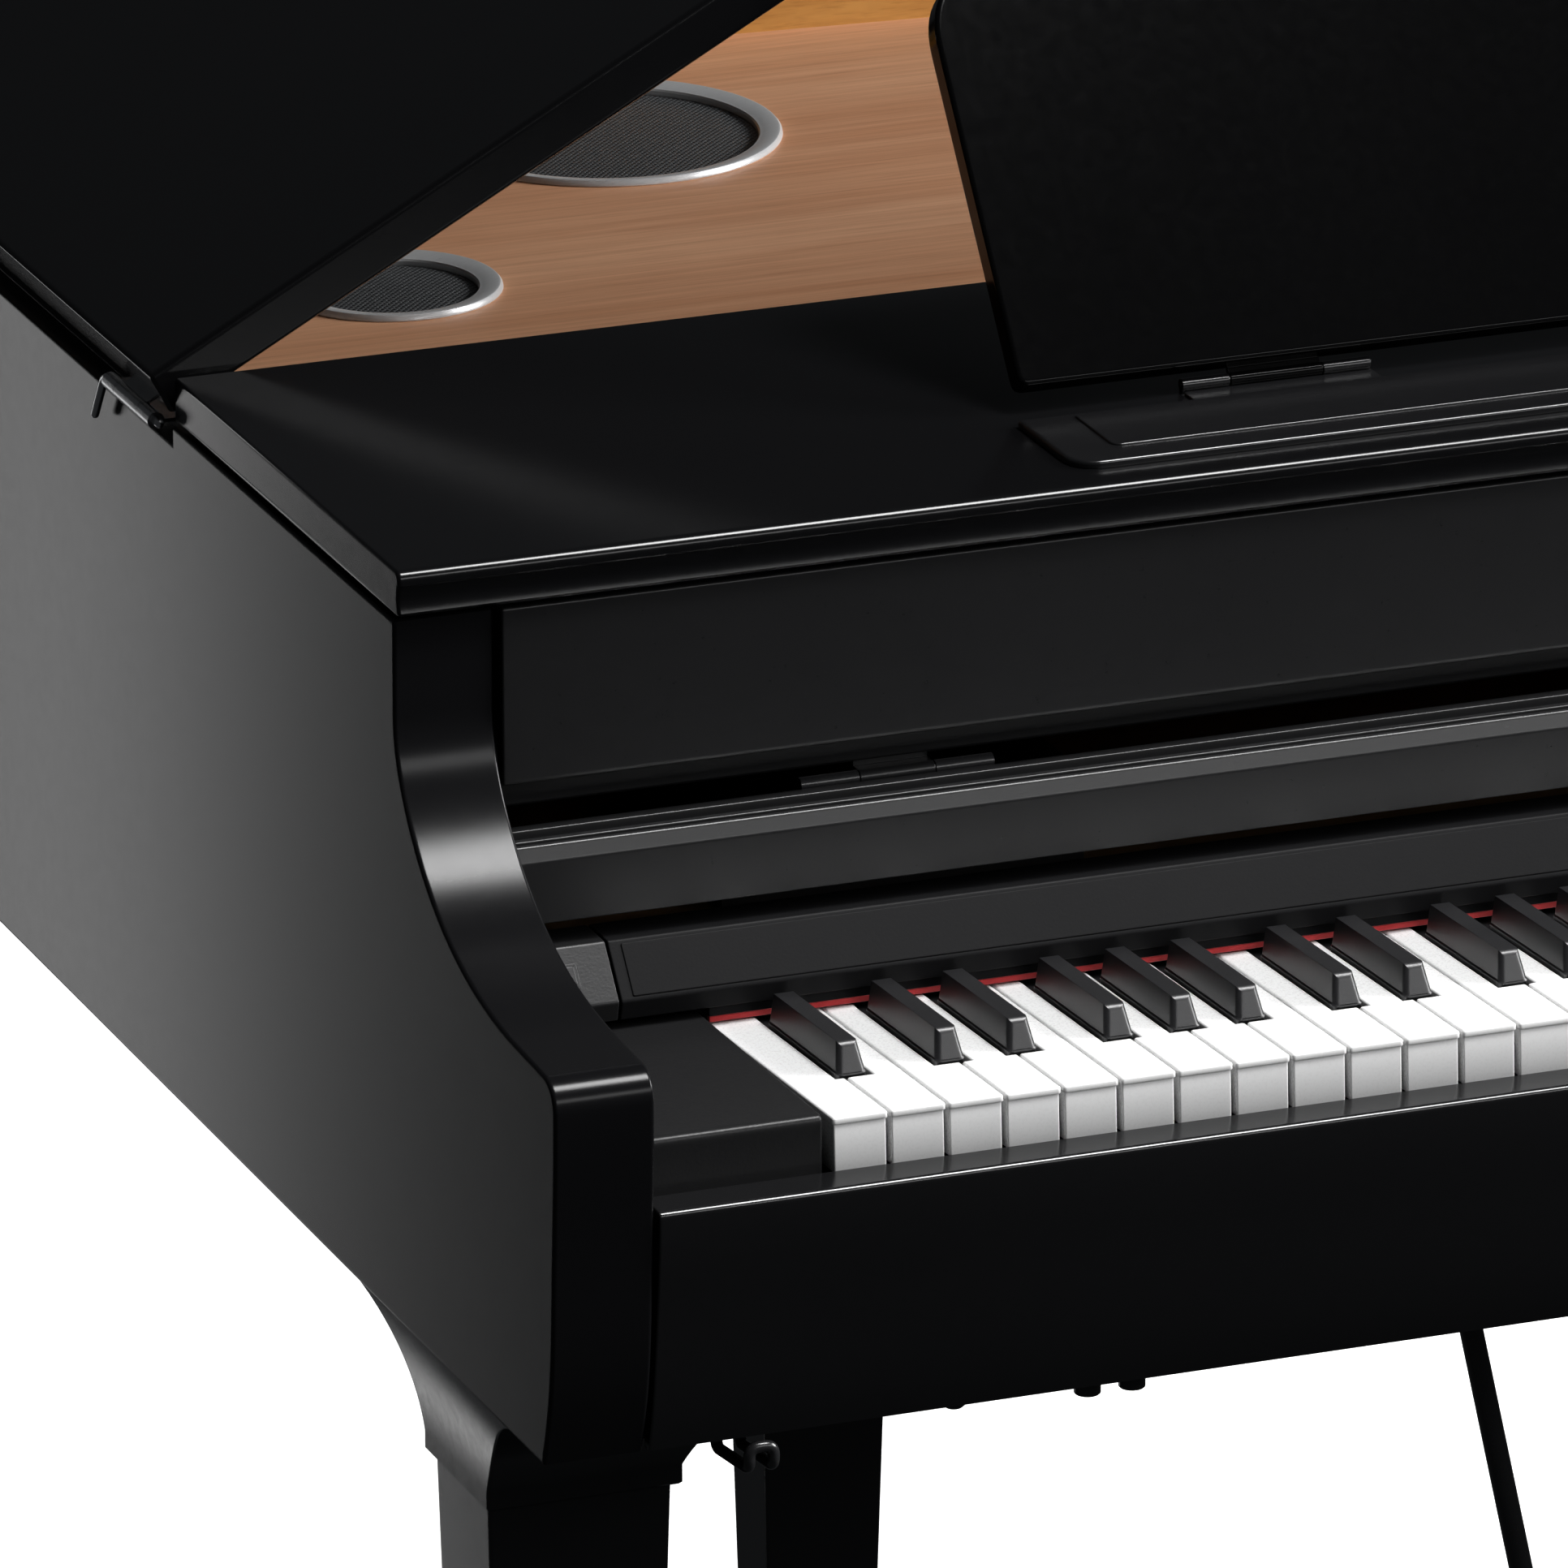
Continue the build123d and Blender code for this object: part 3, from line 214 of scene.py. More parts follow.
def rounding(edge, band, steps):
    """Inset and height of a rounded rim's rings: a flat band, a quarter circle, then a band up the wall."""
    t = np.linspace(0, np.pi / 2, steps)
    inset = np.concatenate([[edge + band], edge * (1 - np.sin(t)), [0]])
    height = np.concatenate([[0], edge * (1 - np.cos(t)), [edge + band]])
    return inset, height


def slab(outline, low, high, along="z", low_edge=1.0, high_edge=None, band=0.5, steps=5):
    """Closed outline carried from low to high, both rims rounded by quarter circles, closed by flat ends.
    Along x the outline is (y, z), along y it is (x, z) and along z it is (x, y)."""
    outline = ready(outline)
    high_edge = low_edge if high_edge is None else high_edge
    inset_a, rise_a = rounding(low_edge, band, steps)
    inset_b, rise_b = rounding(high_edge, band, steps)
    inset = np.concatenate([inset_a, inset_b[::-1]])
    height = np.concatenate([low + rise_a, high - rise_b[::-1]])
    rings = np.stack([ring_of(outline, k) for k in inset])
    level = np.broadcast_to(height[:, None, None], rings.shape[:2] + (1,))
    u, v = rings[..., :1], rings[..., 1:]
    order = {"x": (level, u, v), "y": (u, level, v), "z": (u, v, level)}[along]
    return skin(np.concatenate(order, -1), flip=along == "y")


def carried(profile, path, heading):
    """Closed profile (inwards, up) carried along a level path: each point stands its first number to the
    left of the path's heading and its second number up."""
    profile = anticlockwise(np.asarray(profile, float))
    left = np.stack([-np.sin(heading), np.cos(heading)], 1)
    plan = path[:, None, :] + profile[None, :, :1] * left[:, None, :]
    level = np.broadcast_to(profile[None, :, 1:], plan.shape[:2] + (1,))
    return skin(np.concatenate([plan, level], -1))


def lathe(profile, centre, sides=64, axis="z", hoop=False):
    """Solid of (radius, height) points turned round an axis through centre. A hoop's profile closes on
    itself; any other starts and ends with a small flat disc."""
    profile = np.asarray(profile, float)
    angle = np.linspace(0, 2 * np.pi, sides, endpoint=False)
    r, h = profile[:, 0][:, None], profile[:, 1][:, None]
    ring = np.stack([r * np.cos(angle), r * np.sin(angle), np.broadcast_to(h, (len(profile), sides))], -1)
    if axis == "x":
        ring = ring[..., [2, 0, 1]]
    return skin(ring + np.asarray(centre, float), closed_along=hoop)


def circles(path, reference, sides):
    """Direction of a path at its points, and unit circles square to it there. Each circle starts in the
    direction square to both the path and the reference."""
    along = np.gradient(path, axis=0)
    along /= np.linalg.norm(along, axis=1, keepdims=True)
    side = np.cross(along, reference)
    side /= np.linalg.norm(side, axis=1, keepdims=True)
    other = np.cross(along, side)
    angle = np.linspace(0, 2 * np.pi, sides, endpoint=False)[None, :, None]
    return along, side[:, None] * np.cos(angle) + other[:, None] * np.sin(angle)


def tube(path, radius, sides=14, ball=False):
    """Round bar about a path that lies in or near one plane, its ends rounded off. Its circles start from
    the axis along which the path spreads least."""
    path = np.asarray(path, float)
    flat = np.zeros(3)
    flat[int(np.argmin(path.max(0) - path.min(0)))] = 1.0
    along, ring = circles(path, flat, sides)
    cap = np.linspace(0, np.pi / 2, 5)[:-1]
    swell, reach = np.sin(cap)[:, None, None], np.cos(cap)[:, None, None]
    swell[0] = 0.02
    dome = radius * (1.0 if ball else 0.35)
    first = path[0] - dome * reach * along[0] + radius * swell * ring[0]
    last = path[-1] + dome * reach[::-1] * along[-1] + radius * swell[::-1] * ring[-1]
    return skin(np.concatenate([first, path[:, None] + radius * ring, last]))


def wire(path, radius, sides=18):
    """Round wire with flat ends about a path that turns along all three axes. The direction its circles
    start from is carried on from each point to the next, less its part along the wire."""
    along = np.gradient(path, axis=0)
    along /= np.linalg.norm(along, axis=1, keepdims=True)
    side = np.zeros_like(path)
    side[0] = np.cross(along[0], (0.0, 1.0, 0.0))
    for k in range(1, len(path)):
        step = side[k - 1] - along[k] * np.dot(side[k - 1], along[k])
        side[k] = step / np.linalg.norm(step)
    other = np.cross(along, side)
    angle = np.linspace(0, 2 * np.pi, sides, endpoint=False)[None, :, None]
    return skin(path[:, None] + radius * (side[:, None] * np.cos(angle) + other[:, None] * np.sin(angle)))


def bent(points, radius, steps=8):
    """Open path through corner points, each corner eased by a quadratic curve that starts radius away."""
    points = np.asarray(points, float)
    inner = points[1:-1]
    to_last, to_next = points[:-2] - inner, points[2:] - inner
    to_last /= np.linalg.norm(to_last, axis=1, keepdims=True)
    to_next /= np.linalg.norm(to_next, axis=1, keepdims=True)
    t = np.linspace(0, 1, steps)[None, :, None]
    start, end = inner + radius * to_last, inner + radius * to_next
    curve = (1 - t) ** 2 * start[:, None] + 2 * t * (1 - t) * inner[:, None] + t ** 2 * end[:, None]
    return np.concatenate([points[:1], curve.reshape(-1, 3), points[-1:]])


def tapered(levels, ease):
    """Square post of eased rectangles, one for each level (height, x low, x high, y low, y high)."""
    levels = np.asarray(levels, float)
    z, x0, x1, y0, y1 = (levels[:, k] for k in range(5))
    reach = eased(rectangle(0, 0, 100, 100), 1.0)
    near = np.where(reach < 50, reach, reach - 100)
    pick = (reach > 50).astype(float)
    x = x0[:, None] + pick[:, 0] * (x1 - x0)[:, None] + near[:, 0] * ease
    y = y0[:, None] + pick[:, 1] * (y1 - y0)[:, None] + near[:, 1] * ease
    level = np.broadcast_to(z[:, None], x.shape)
    return skin(np.stack([x, y, level], -1))


def moved(part, change):
    """A surface with its points changed by a function of the whole array."""
    points, faces = part
    return change(points), faces


def about_y(points, x, z, angle):
    """Points turned about the line along Y through (x, z), so that a positive angle lifts the treble side."""
    c, s = math.cos(angle), math.sin(angle)
    dx, dz = points[:, 0] - x, points[:, 2] - z
    return np.stack([x + c * dx - s * dz, points[:, 1], z + s * dx + c * dz], 1)


def about_x(points, y, z, angle):
    """Points turned about the line along X through (y, z), by the right-hand rule."""
    c, s = math.cos(angle), math.sin(angle)
    dy, dz = points[:, 1] - y, points[:, 2] - z
    return np.stack([points[:, 0], y + c * dy - s * dz, z + s * dy + c * dz], 1)


def piece(name, body, slot, finish, parts, *nodes, sharp=34.0):
    """One mesh made of closed surfaces, riding on a body and standing for CAD nodes."""
    offset, points, faces = 0, [], []
    for part_points, part_faces in parts:
        points.append(part_points)
        faces += [f for block in part_faces for f in (block + offset).tolist()]
        offset += len(part_points)
    mesh = bpy.data.meshes.new(name)
    mesh.from_pydata((np.concatenate(points) * MM).tolist(), [], faces)
    mesh.polygons.foreach_set("use_smooth", np.ones(len(mesh.polygons), bool))
    mesh.set_sharp_from_angle(angle=math.radians(sharp))
    mesh.update()
    made = bpy.data.objects.new(name, mesh)
    bpy.context.scene.collection.objects.link(made)
    mesh.materials.append(finish)
    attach(made, body)
    if nodes:
        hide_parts(*nodes)
    return made


# ---------------------------------------------------------------- finishes
def shader(name):
    """New material, its shader, and a node maker that wires inputs by name."""
    made = bpy.data.materials.new(name)
    made.use_nodes = True
    tree = made.node_tree

    def node(kind, values=None, **settings):
        n = tree.nodes.new("ShaderNode" + kind)
        for key, value in settings.items():
            setattr(n, key, value)
        for key, value in (values or {}).items():
            socket = n.inputs[key]
            if isinstance(value, bpy.types.NodeSocket):
                tree.links.new(value, socket)
            else:
                socket.default_value = value
        return n

    main = tree.nodes["Principled BSDF"]
    return made, tree, main, node


def blend_of(node, factor, one, two):
    """Colour between one and two."""
    mix = node("Mix", data_type="RGBA")
    tree = mix.id_data
    tree.links.new(factor, mix.inputs[0])
    mix.inputs[6].default_value = (*one, 1)
    mix.inputs[7].default_value = (*two, 1)
    return mix.outputs[2]


def lacquer(name, dark, light, rough, spread=0.05, grain=6.0, ripple=0.02, ripple_size=900.0, shine=0.5):
    """Painted or plated finish: cloudy colour from low noise, uneven gloss from a second noise, and a fine
    ripple in the surface from a third."""
    made, tree, main, node = shader(name)
    at = node("TexCoord").outputs["Object"]
    cloud = node("TexNoise", {"Vector": at, "Scale": grain, "Detail": 6.0, "Roughness": 0.6}).outputs["Fac"]
    tree.links.new(blend_of(node, cloud, dark, light), main.inputs["Base Color"])
    wear = node("TexNoise", {"Vector": at, "Scale": grain * 30, "Detail": 8.0,
                             "Roughness": 0.7}).outputs["Fac"]
    gloss = node("MapRange", {"Value": wear, "From Min": 0.3, "From Max": 0.7, "To Min": rough - spread,
                              "To Max": rough + spread})
    tree.links.new(gloss.outputs["Result"], main.inputs["Roughness"])
    fine = node("TexNoise", {"Vector": at, "Scale": ripple_size, "Detail": 2.0}).outputs["Fac"]
    bump = node("Bump", {"Height": fine, "Strength": ripple, "Distance": 0.0004})
    tree.links.new(bump.outputs["Normal"], main.inputs["Normal"])
    main.inputs["Specular IOR Level"].default_value = shine
    return made


def wood(name, pale, deep, dark, turn=0.0, rough=0.42):
    """Veneer with its grain along X: long stretched noise makes the bands, a finer one the streaks, and a
    very fine one the pores, which also dent the surface."""
    made, tree, main, node = shader(name)
    at = node("TexCoord").outputs["Object"]
    along = node("Mapping", {"Vector": at, "Rotation": (0.0, 0.0, turn), "Scale": (0.9, 13.0, 13.0)})
    bands = node("TexNoise", {"Vector": along.outputs["Vector"], "Scale": 1.6, "Detail": 5.0,
                              "Roughness": 0.55,
                              "Distortion": 0.9}).outputs["Fac"]
    streak_at = node("Mapping", {"Vector": at, "Rotation": (0.0, 0.0, turn), "Scale": (4.0, 160.0, 160.0)})
    streaks = node("TexNoise", {"Vector": streak_at.outputs["Vector"], "Scale": 1.5, "Detail": 7.0,
                                "Roughness": 0.65, "Distortion": 0.3}).outputs["Fac"]
    pore_at = node("Mapping", {"Vector": at, "Rotation": (0.0, 0.0, turn), "Scale": (30.0, 900.0, 900.0)})
    pores = node("TexNoise", {"Vector": pore_at.outputs["Vector"], "Scale": 1.0,
                              "Detail": 3.0}).outputs["Fac"]
    ramp = node("ValToRGB", {"Fac": bands})
    stops = ramp.color_ramp.elements
    stops[0].position, stops[0].color = 0.34, (*deep, 1)
    stops[1].position, stops[1].color = 0.66, (*pale, 1)
    streaky = node("Mix", data_type="RGBA", blend_type="MULTIPLY")
    shade = node("MapRange", {"Value": streaks, "From Min": 0.3, "From Max": 0.7, "To Max": 0.62})
    tree.links.new(shade.outputs["Result"], streaky.inputs[0])
    tree.links.new(ramp.outputs["Color"], streaky.inputs[6])
    streaky.inputs[7].default_value = (*dark, 1)
    poked = node("Mix", data_type="RGBA", blend_type="MULTIPLY")
    hole = node("MapRange", {"Value": pores, "From Min": 0.56, "From Max": 0.72, "To Max": 0.35})
    tree.links.new(hole.outputs["Result"], poked.inputs[0])
    tree.links.new(streaky.outputs[2], poked.inputs[6])
    poked.inputs[7].default_value = (*dark, 1)
    tree.links.new(poked.outputs[2], main.inputs["Base Color"])
    bump = node("Bump", {"Height": pores, "Strength": 0.05, "Distance": 0.0003})
    tree.links.new(bump.outputs["Normal"], main.inputs["Normal"])
    main.inputs["Roughness"].default_value = rough
    main.inputs["Coat Weight"].default_value = 0.15
    main.inputs["Coat Roughness"].default_value = 0.25
    return made


def perforated(name, pitch=2.2):
    """Fine punched sheet: round holes, dark and sunk, at the centres of an even square grid's cells, with
    satin metal between them."""
    made, tree, main, node = shader(name)
    at = node("TexCoord").outputs["Object"]
    turned_at = node("Mapping", {"Vector": at, "Rotation": (0.0, 0.0, math.radians(45))})
    grid = {"Vector": turned_at.outputs["Vector"], "Scale": 1 / (pitch * MM), "Randomness": 0.0}
    cells = node("TexVoronoi", grid, voronoi_dimensions="2D")
    hole = node("MapRange", {"Value": cells.outputs["Distance"], "From Min": 0.27, "From Max": 0.36})
    tree.links.new(blend_of(node, hole.outputs["Result"], (0.004, 0.004, 0.005), (0.13, 0.135, 0.14)),
                   main.inputs["Base Color"])
    bump = node("Bump", {"Height": hole.outputs["Result"], "Strength": 0.8, "Distance": 0.0006})
    tree.links.new(bump.outputs["Normal"], main.inputs["Normal"])
    main.inputs["Metallic"].default_value = 0.3
    main.inputs["Roughness"].default_value = 0.42
    return made


def felt(name, colour):
    """Wool felt: one noise for the fibres, in its colour and its bump, sheen for the nap."""
    made, tree, main, node = shader(name)
    at = node("TexCoord").outputs["Object"]
    fibre = node("TexNoise", {"Vector": at, "Scale": 1400.0, "Detail": 6.0, "Roughness": 0.8}).outputs["Fac"]
    darker = tuple(c * 0.55 for c in colour)
    tree.links.new(blend_of(node, fibre, darker, colour), main.inputs["Base Color"])
    bump = node("Bump", {"Height": fibre, "Strength": 0.6, "Distance": 0.0005})
    tree.links.new(bump.outputs["Normal"], main.inputs["Normal"])
    main.inputs["Roughness"].default_value = 0.95
    main.inputs["Sheen Weight"].default_value = 0.5
    return made


def brushed(name, dark, light, rough, metal=1.0):
    """Brushed or turned metal: noise stretched along X breaks up its colour and gloss."""
    made, tree, main, node = shader(name)
    at = node("TexCoord").outputs["Object"]
    lay = node("Mapping", {"Vector": at, "Scale": (60.0, 900.0, 900.0)})
    lines = node("TexNoise", {"Vector": lay.outputs["Vector"], "Scale": 1.0, "Detail": 4.0}).outputs["Fac"]
    tree.links.new(blend_of(node, lines, dark, light), main.inputs["Base Color"])
    gloss = node("MapRange", {"Value": lines, "To Min": rough - 0.07, "To Max": rough + 0.1})
    tree.links.new(gloss.outputs["Result"], main.inputs["Roughness"])
    main.inputs["Metallic"].default_value = metal
    return made


PIANO_BLACK = lacquer("piano_black_lacquer", (0.0045, 0.0045, 0.005), (0.0065, 0.0065, 0.007), 0.2, 0.03)
SIDE_BLACK = lacquer("side_black_lacquer", (0.0035, 0.0035, 0.004), (0.0055, 0.0055, 0.006), 0.2, 0.012,
                     ripple=0.003, shine=0.15)
LID_BLACK = lacquer("lid_black_lacquer", (0.0022, 0.0022, 0.0025), (0.0032, 0.0032, 0.0035), 0.16, 0.02,
                    ripple=0.006, shine=0.4)
TOP_BLACK = lacquer("top_black_lacquer", (0.0022, 0.0022, 0.0025), (0.0032, 0.0032, 0.0035), 0.18, 0.02,
                    ripple=0.006, shine=0.28)
REST_BLACK = lacquer("rest_black_lacquer", (0.0012, 0.0012, 0.0013), (0.0018, 0.0018, 0.0019), 0.09, 0.015,
                     ripple=0.006, shine=0.12)
BAR_BLACK = lacquer("bar_black_paint", (0.0065, 0.0065, 0.007), (0.009, 0.009, 0.0095), 0.36, 0.03,
                    10.0, 0.06, shine=0.04)
SATIN_BLACK = lacquer("satin_black_paint", (0.009, 0.009, 0.0095), (0.013, 0.013, 0.0135), 0.34, 0.04,
                      12.0, 0.10, shine=0.22)
SATIN_PANEL = lacquer("satin_panel_paint", (0.0075, 0.0075, 0.008), (0.010, 0.010, 0.0105), 0.30, 0.03,
                      8.0, 0.05, shine=0.4)
SOUNDBOARD_WOOD = wood("soundboard_veneer", (0.95, 0.53, 0.31), (0.80, 0.40, 0.215), (0.62, 0.50, 0.44))
LEDGE_WOOD = wood("ledge_veneer", (0.74, 0.40, 0.11), (0.56, 0.26, 0.055), (0.60, 0.48, 0.34),
                  turn=math.radians(8))
HIDDEN_WOOD = wood("inner_board_wood", (0.42, 0.28, 0.16), (0.30, 0.19, 0.10), (0.6, 0.5, 0.4), rough=0.6)
RING_METAL = brushed("ring_satin_metal", (0.60, 0.61, 0.62), (0.74, 0.75, 0.76), 0.3, 0.25)
HINGE_STEEL = brushed("hinge_steel", (0.42, 0.42, 0.43), (0.60, 0.60, 0.61), 0.2)
GRILLE_MESH = perforated("grille_punched_sheet")
PEDAL_BRASS = brushed("pedal_brass", (0.62, 0.42, 0.14), (0.80, 0.58, 0.24), 0.16)
BLACK_METAL = lacquer("black_plated_metal", (0.010, 0.010, 0.011), (0.02, 0.02, 0.021), 0.24, 0.05, 40.0,
                      0.05)
WHITE_KEY = lacquer("white_key_resin", (0.90, 0.90, 0.90), (0.94, 0.94, 0.935), 0.28, 0.03, 30.0, 0.008,
                    2200.0)
BLACK_KEY = lacquer("black_key_resin", (0.010, 0.010, 0.011), (0.016, 0.016, 0.017), 0.33, 0.05,
                    60.0, 0.10, 2400.0)
RED_FELT = felt("red_felt", (0.62, 0.012, 0.016))
CHASSIS = lacquer("chassis_plastic", (0.02, 0.02, 0.021), (0.035, 0.035, 0.036), 0.5, 0.08, 20.0, 0.2)
BOARD_GREEN = lacquer("circuit_board_green", (0.01, 0.07, 0.03), (0.02, 0.11, 0.05), 0.4, 0.08, 90.0, 0.2)
GLIDE_STEEL = brushed("glide_steel", (0.35, 0.35, 0.36), (0.5, 0.5, 0.5), 0.35)

KEPT_FINISHES = {
    SOUNDBOARD_WOOD: ("soundboard",), LEDGE_WOOD: ("rear_ledge",), HIDDEN_WOOD: ("bottom_board",),
    SATIN_BLACK: ("key_bed", "socket_panel"), PIANO_BLACK: ("front_beam", "pedal_box"),
    CHASSIS: ("speaker_drivers", "power_supply", "key_frame", "phones_box"), BOARD_GREEN: ("circuit_boards",),
    HINGE_STEEL: ("lid_hinge_leaves", "rim_hinge_leaves", "pedal_shaft"),
    BLACK_METAL: ("stay_bracket", "cover_hinge_leaves", "chassis_screws"),
}


# ---------------------------------------------------------------- case
def case_plan(steps=26):
    """Plan of the case from the treble side's shoulder to the bass spine, as points and headings. Each arc
    starts where the last run ended, in the direction it had; a right-hand arc has a negative radius."""
    tail_turn = 90.0 - SHOULDER_TURN + WAIST_TURN
    runs = ((SHOULDER_RADIUS, SHOULDER_TURN), (None, SHOULDER_FLAT), (-WAIST_RADIUS, -WAIST_TURN),
            (TAIL_RADIUS, tail_turn), (None, None), (SPINE_CORNER, 90.0))
    point, heading = np.array([HALF, SHOULDER_Y]), math.pi / 2
    points, headings = [point[None]], [np.array([heading])]
    for radius, turn in runs:
        t = np.linspace(0, 1, steps)[1:]
        if radius is None:
            length = turn if turn else point[0] - (SPINE_CORNER - HALF)
            new = point + length * t[-1:, None] * np.array([math.cos(heading), math.sin(heading)])
            way = np.full(1, heading)
        else:
            way = heading + math.radians(turn) * t
            centre = point + radius * np.array([-math.sin(heading), math.cos(heading)])
            new = centre + radius * np.stack([np.sin(way), -np.cos(way)], 1)
        points.append(new)
        headings.append(way)
        point, heading = new[-1], way[-1]
    return np.concatenate(points), np.concatenate(headings)


plan_points, plan_headings = case_plan()
REBATE_FRONT = 405.0


def rim_profile():
    """Section of the rim, inwards and up, with the step in its outer top edge."""
    top, low, step = RIM_TOP, RIM_BOTTOM, RIM_TOP - REBATE_DEEP
    return eased(row((0, low), (RIM_THICK, low), (RIM_THICK, top), (REBATE_WIDE, top), (REBATE_WIDE, step),
                     (0, step)), (1.5, 1.5, 1.2, 1.0, 0.6, 1.0))


def arm_outline():
    """Side view of an arm: down the hollow front, round the nose, down the face and back along the bottom."""
    hollow = through(row((150.5, 126), (136, 90), (82, 51), (25, 39)), (0.02, -1), (-1, -0.08), 56)
    nose = through(row((-10, 37.2), (-18.4, 33.6), (-22, 25)), (-1, -0.05), (0, -1), 14)
    face = through(row((-22, 25), (-19, -43), (-14, -95), (-6.5, -120.5)), (0, -1), (0.35, -1), 40)[1:]
    rear = row((REBATE_FRONT, -120.5), (REBATE_FRONT, RIM_RISE))
    top = row((151.5, RIM_RISE), (150.3, RIM_RISE - 0.6), (150, RIM_RISE - 2))
    outline = np.concatenate([hollow, nose, face, rear, top])
    return outline + np.array([KEY_Y, KEY_TOP])


def side_panel(sign):
    """Arm with rounded edges in front, rim section behind it; they meet flush."""
    outer, inner = sign * HALF, sign * (HALF - RIM_THICK)
    low, high = min(outer, inner), max(outer, inner)
    seam = back(REBATE_FRONT)

    def squared(points):
        """Points near the seam moved onto it, so that no groove shows there."""
        return np.where((points[:, 1:2] > seam - 3.5) & np.array([[False, True, False]]), seam, points)

    arm = moved(slab(arm_outline(), low, high, "x", 1.3), squared)
    if sign < 0:
        path, way = row((-HALF, SPINE_Y), (-HALF, seam)), np.full(2, -math.pi / 2)
    else:
        path, way = row((HALF, seam), (HALF, SHOULDER_Y)), np.full(2, math.pi / 2)
    return [arm, carried(rim_profile(), path, way)]


piece("left_side", "case", "piano_black", SIDE_BLACK, side_panel(-1), "left_side_panel")
piece("right_side", "case", "piano_black", SIDE_BLACK, side_panel(1), "right_side_panel")
piece("rim_bend", "case", "piano_black", SIDE_BLACK, [carried(rim_profile(), plan_points, plan_headings)],
      "bent_rim")


def board_section():
    """Front-to-back section of the fixed top: rounded nose, a small step and a slightly hollow band below."""
    low, high = RIM_TOP + 3.0 - KEY_TOP, BOARD_TOP - KEY_TOP
    nose = through(row((148.2, high), (145.2, high - 1.2), (144, high - 4.2)), (-1, 0), (0, -1), 10)
    band = through(row((144.9, high - 6.4), (145.5, high - 11), (144.3, low + 1.4)), (0.1, -1),
                   (-0.4, -1), 10)
    rest = row((145.6, low), (402.4, low), (403, low + 0.6), (403, high - 1.5), (401.5, high))
    return np.concatenate([nose, row((144, high - 5.6)), band, rest]) + np.array([KEY_Y, KEY_TOP])


piece("fixed_top", "case", "piano_black", TOP_BLACK, [slab(board_section(), -HALF, HALF, "x", 1.2)],
      "top_board")


def slip_section():
    """Section of the board below the keys: flat top, rounded lip, face following the arms."""
    lip = through(row((-18.6, -20), (-20.6, -21), (-21, -23.5)), (-1, 0), (0, -1), 9)
    face = through(row((-21, -23.5), (-18, -60), (-13, -98), (-7.5, -120.5)), (0, -1), (0.35, -1), 34)[1:]
    rest = row((-3, -120.5), (-3, -20.4), (-3.4, -20))
    return np.concatenate([lip, face, rest]) + np.array([KEY_Y, KEY_TOP])


SLIP_REACH = HALF - RIM_THICK - 2.0
piece("slip_board", "case", "piano_black", PIANO_BLACK,
      [slab(slip_section(), -SLIP_REACH, SLIP_REACH, "x", 0.7, band=0.4)], "key_slip")

INNER = HALF - RIM_THICK


def stations(points, ease, steps=5):
    """Keyboard (y, z) corner stations as a section in the world, with the ease of its corners."""
    return row(*points) + np.array([KEY_Y, KEY_TOP]), ease, steps


rail_corners = ((140, 39), (140, 64), (143, 70), (157.6, 70), (157.6, 66), (159.5, 66), (159.5, 39))
front_bead, back_bead = rectangle(145, 69.5, 148.5, 71.3), rectangle(151, 69.5, 157, 73.6)
piece("rail_moulding", "case", "piano_black", SATIN_PANEL,
      [slab(stations(rail_corners, (0.5, 0.7, 0.9, 0.5, 0.3, 0.3, 0.5)), -INNER, INNER, "x", 0.3, band=0.2),
       slab(stations(front_bead, 0.7), 3 - INNER, INNER - 3, "x", 0.3, band=0.2),
       slab(stations(back_bead, 0.7), 3 - INNER, INNER - 3, "x", 0.3, band=0.2)], "cover_rail")


def cheek(sign):
    """End block beside the keys: a top block with a rounded front edge, standing on a set-back foot."""
    outer, inner = sign * (INNER - 0.3), sign * (-KEY_X + 3.0)
    low, high = min(outer, inner), max(outer, inner)
    top = stations(((1.4, -45), (1.4, 1.2), (150, -2.6), (150, -45)), (0.6, 3.6, 0.6, 0.6), 9)
    foot = stations(((14, BED_Z + 30 - KEY_TOP), (14, -45), (150, -45), (150, BED_Z + 30 - KEY_TOP)), 0.5)
    return [slab(top, low, high, "x", 0.8), slab(foot, low, high, "x", 0.5)]


piece("cheeks", "case", "satin_black", SATIN_BLACK, cheek(-1) + cheek(1), "cheek_blocks")

BAR_OVER = 38.0
bar_corners = ((138, 29.6), (122, 10), (124, 2), (158, 2), (158, 29.6))
bar_ease = (0.8, 0.8, 0.5, 0.5, 0.5)
BAR_REACH = -KEY_X + BAR_OVER
face_run = np.array([16.0, 19.6]) / math.hypot(16.0, 19.6)
face_out = np.array([-face_run[1], face_run[0]])


def on_bar_face(x0, x1, low, high, proud, sunk, ease, edge):
    """Plate lying on the bar's slanted face, from low to high up the slope and proud of it."""
    points, faces = slab((rectangle(x0, low, x1, high), ease, 5), -sunk, proud, "z", 0.05, edge, band=0.15)
    foot = np.array([back(122), up(10)])
    place = foot + points[:, 1:2] * face_run + points[:, 2:3] * face_out
    return np.concatenate([points[:, :1], place], 1), faces


piece("control_bar_skin", "case", "satin_black", BAR_BLACK,
      [slab(stations(bar_corners, bar_ease), -BAR_REACH, BAR_REACH, "x", 0.5, band=0.3),
       # Thin black strip above the felt: partly a real black part, partly painted shade that stands for the
       # shadow under the bar.
       slab(stations(rectangle(128.3, -3.2, 131, 2.2), 0.3), KEY_X, -KEY_X, "x", 0.3, band=0.2),
       on_bar_face(-BAR_REACH + 5, BAR_REACH - 5, 1.6, 23.4, 0.5, 0.3, 0.8, 0.35)], "control_bar")


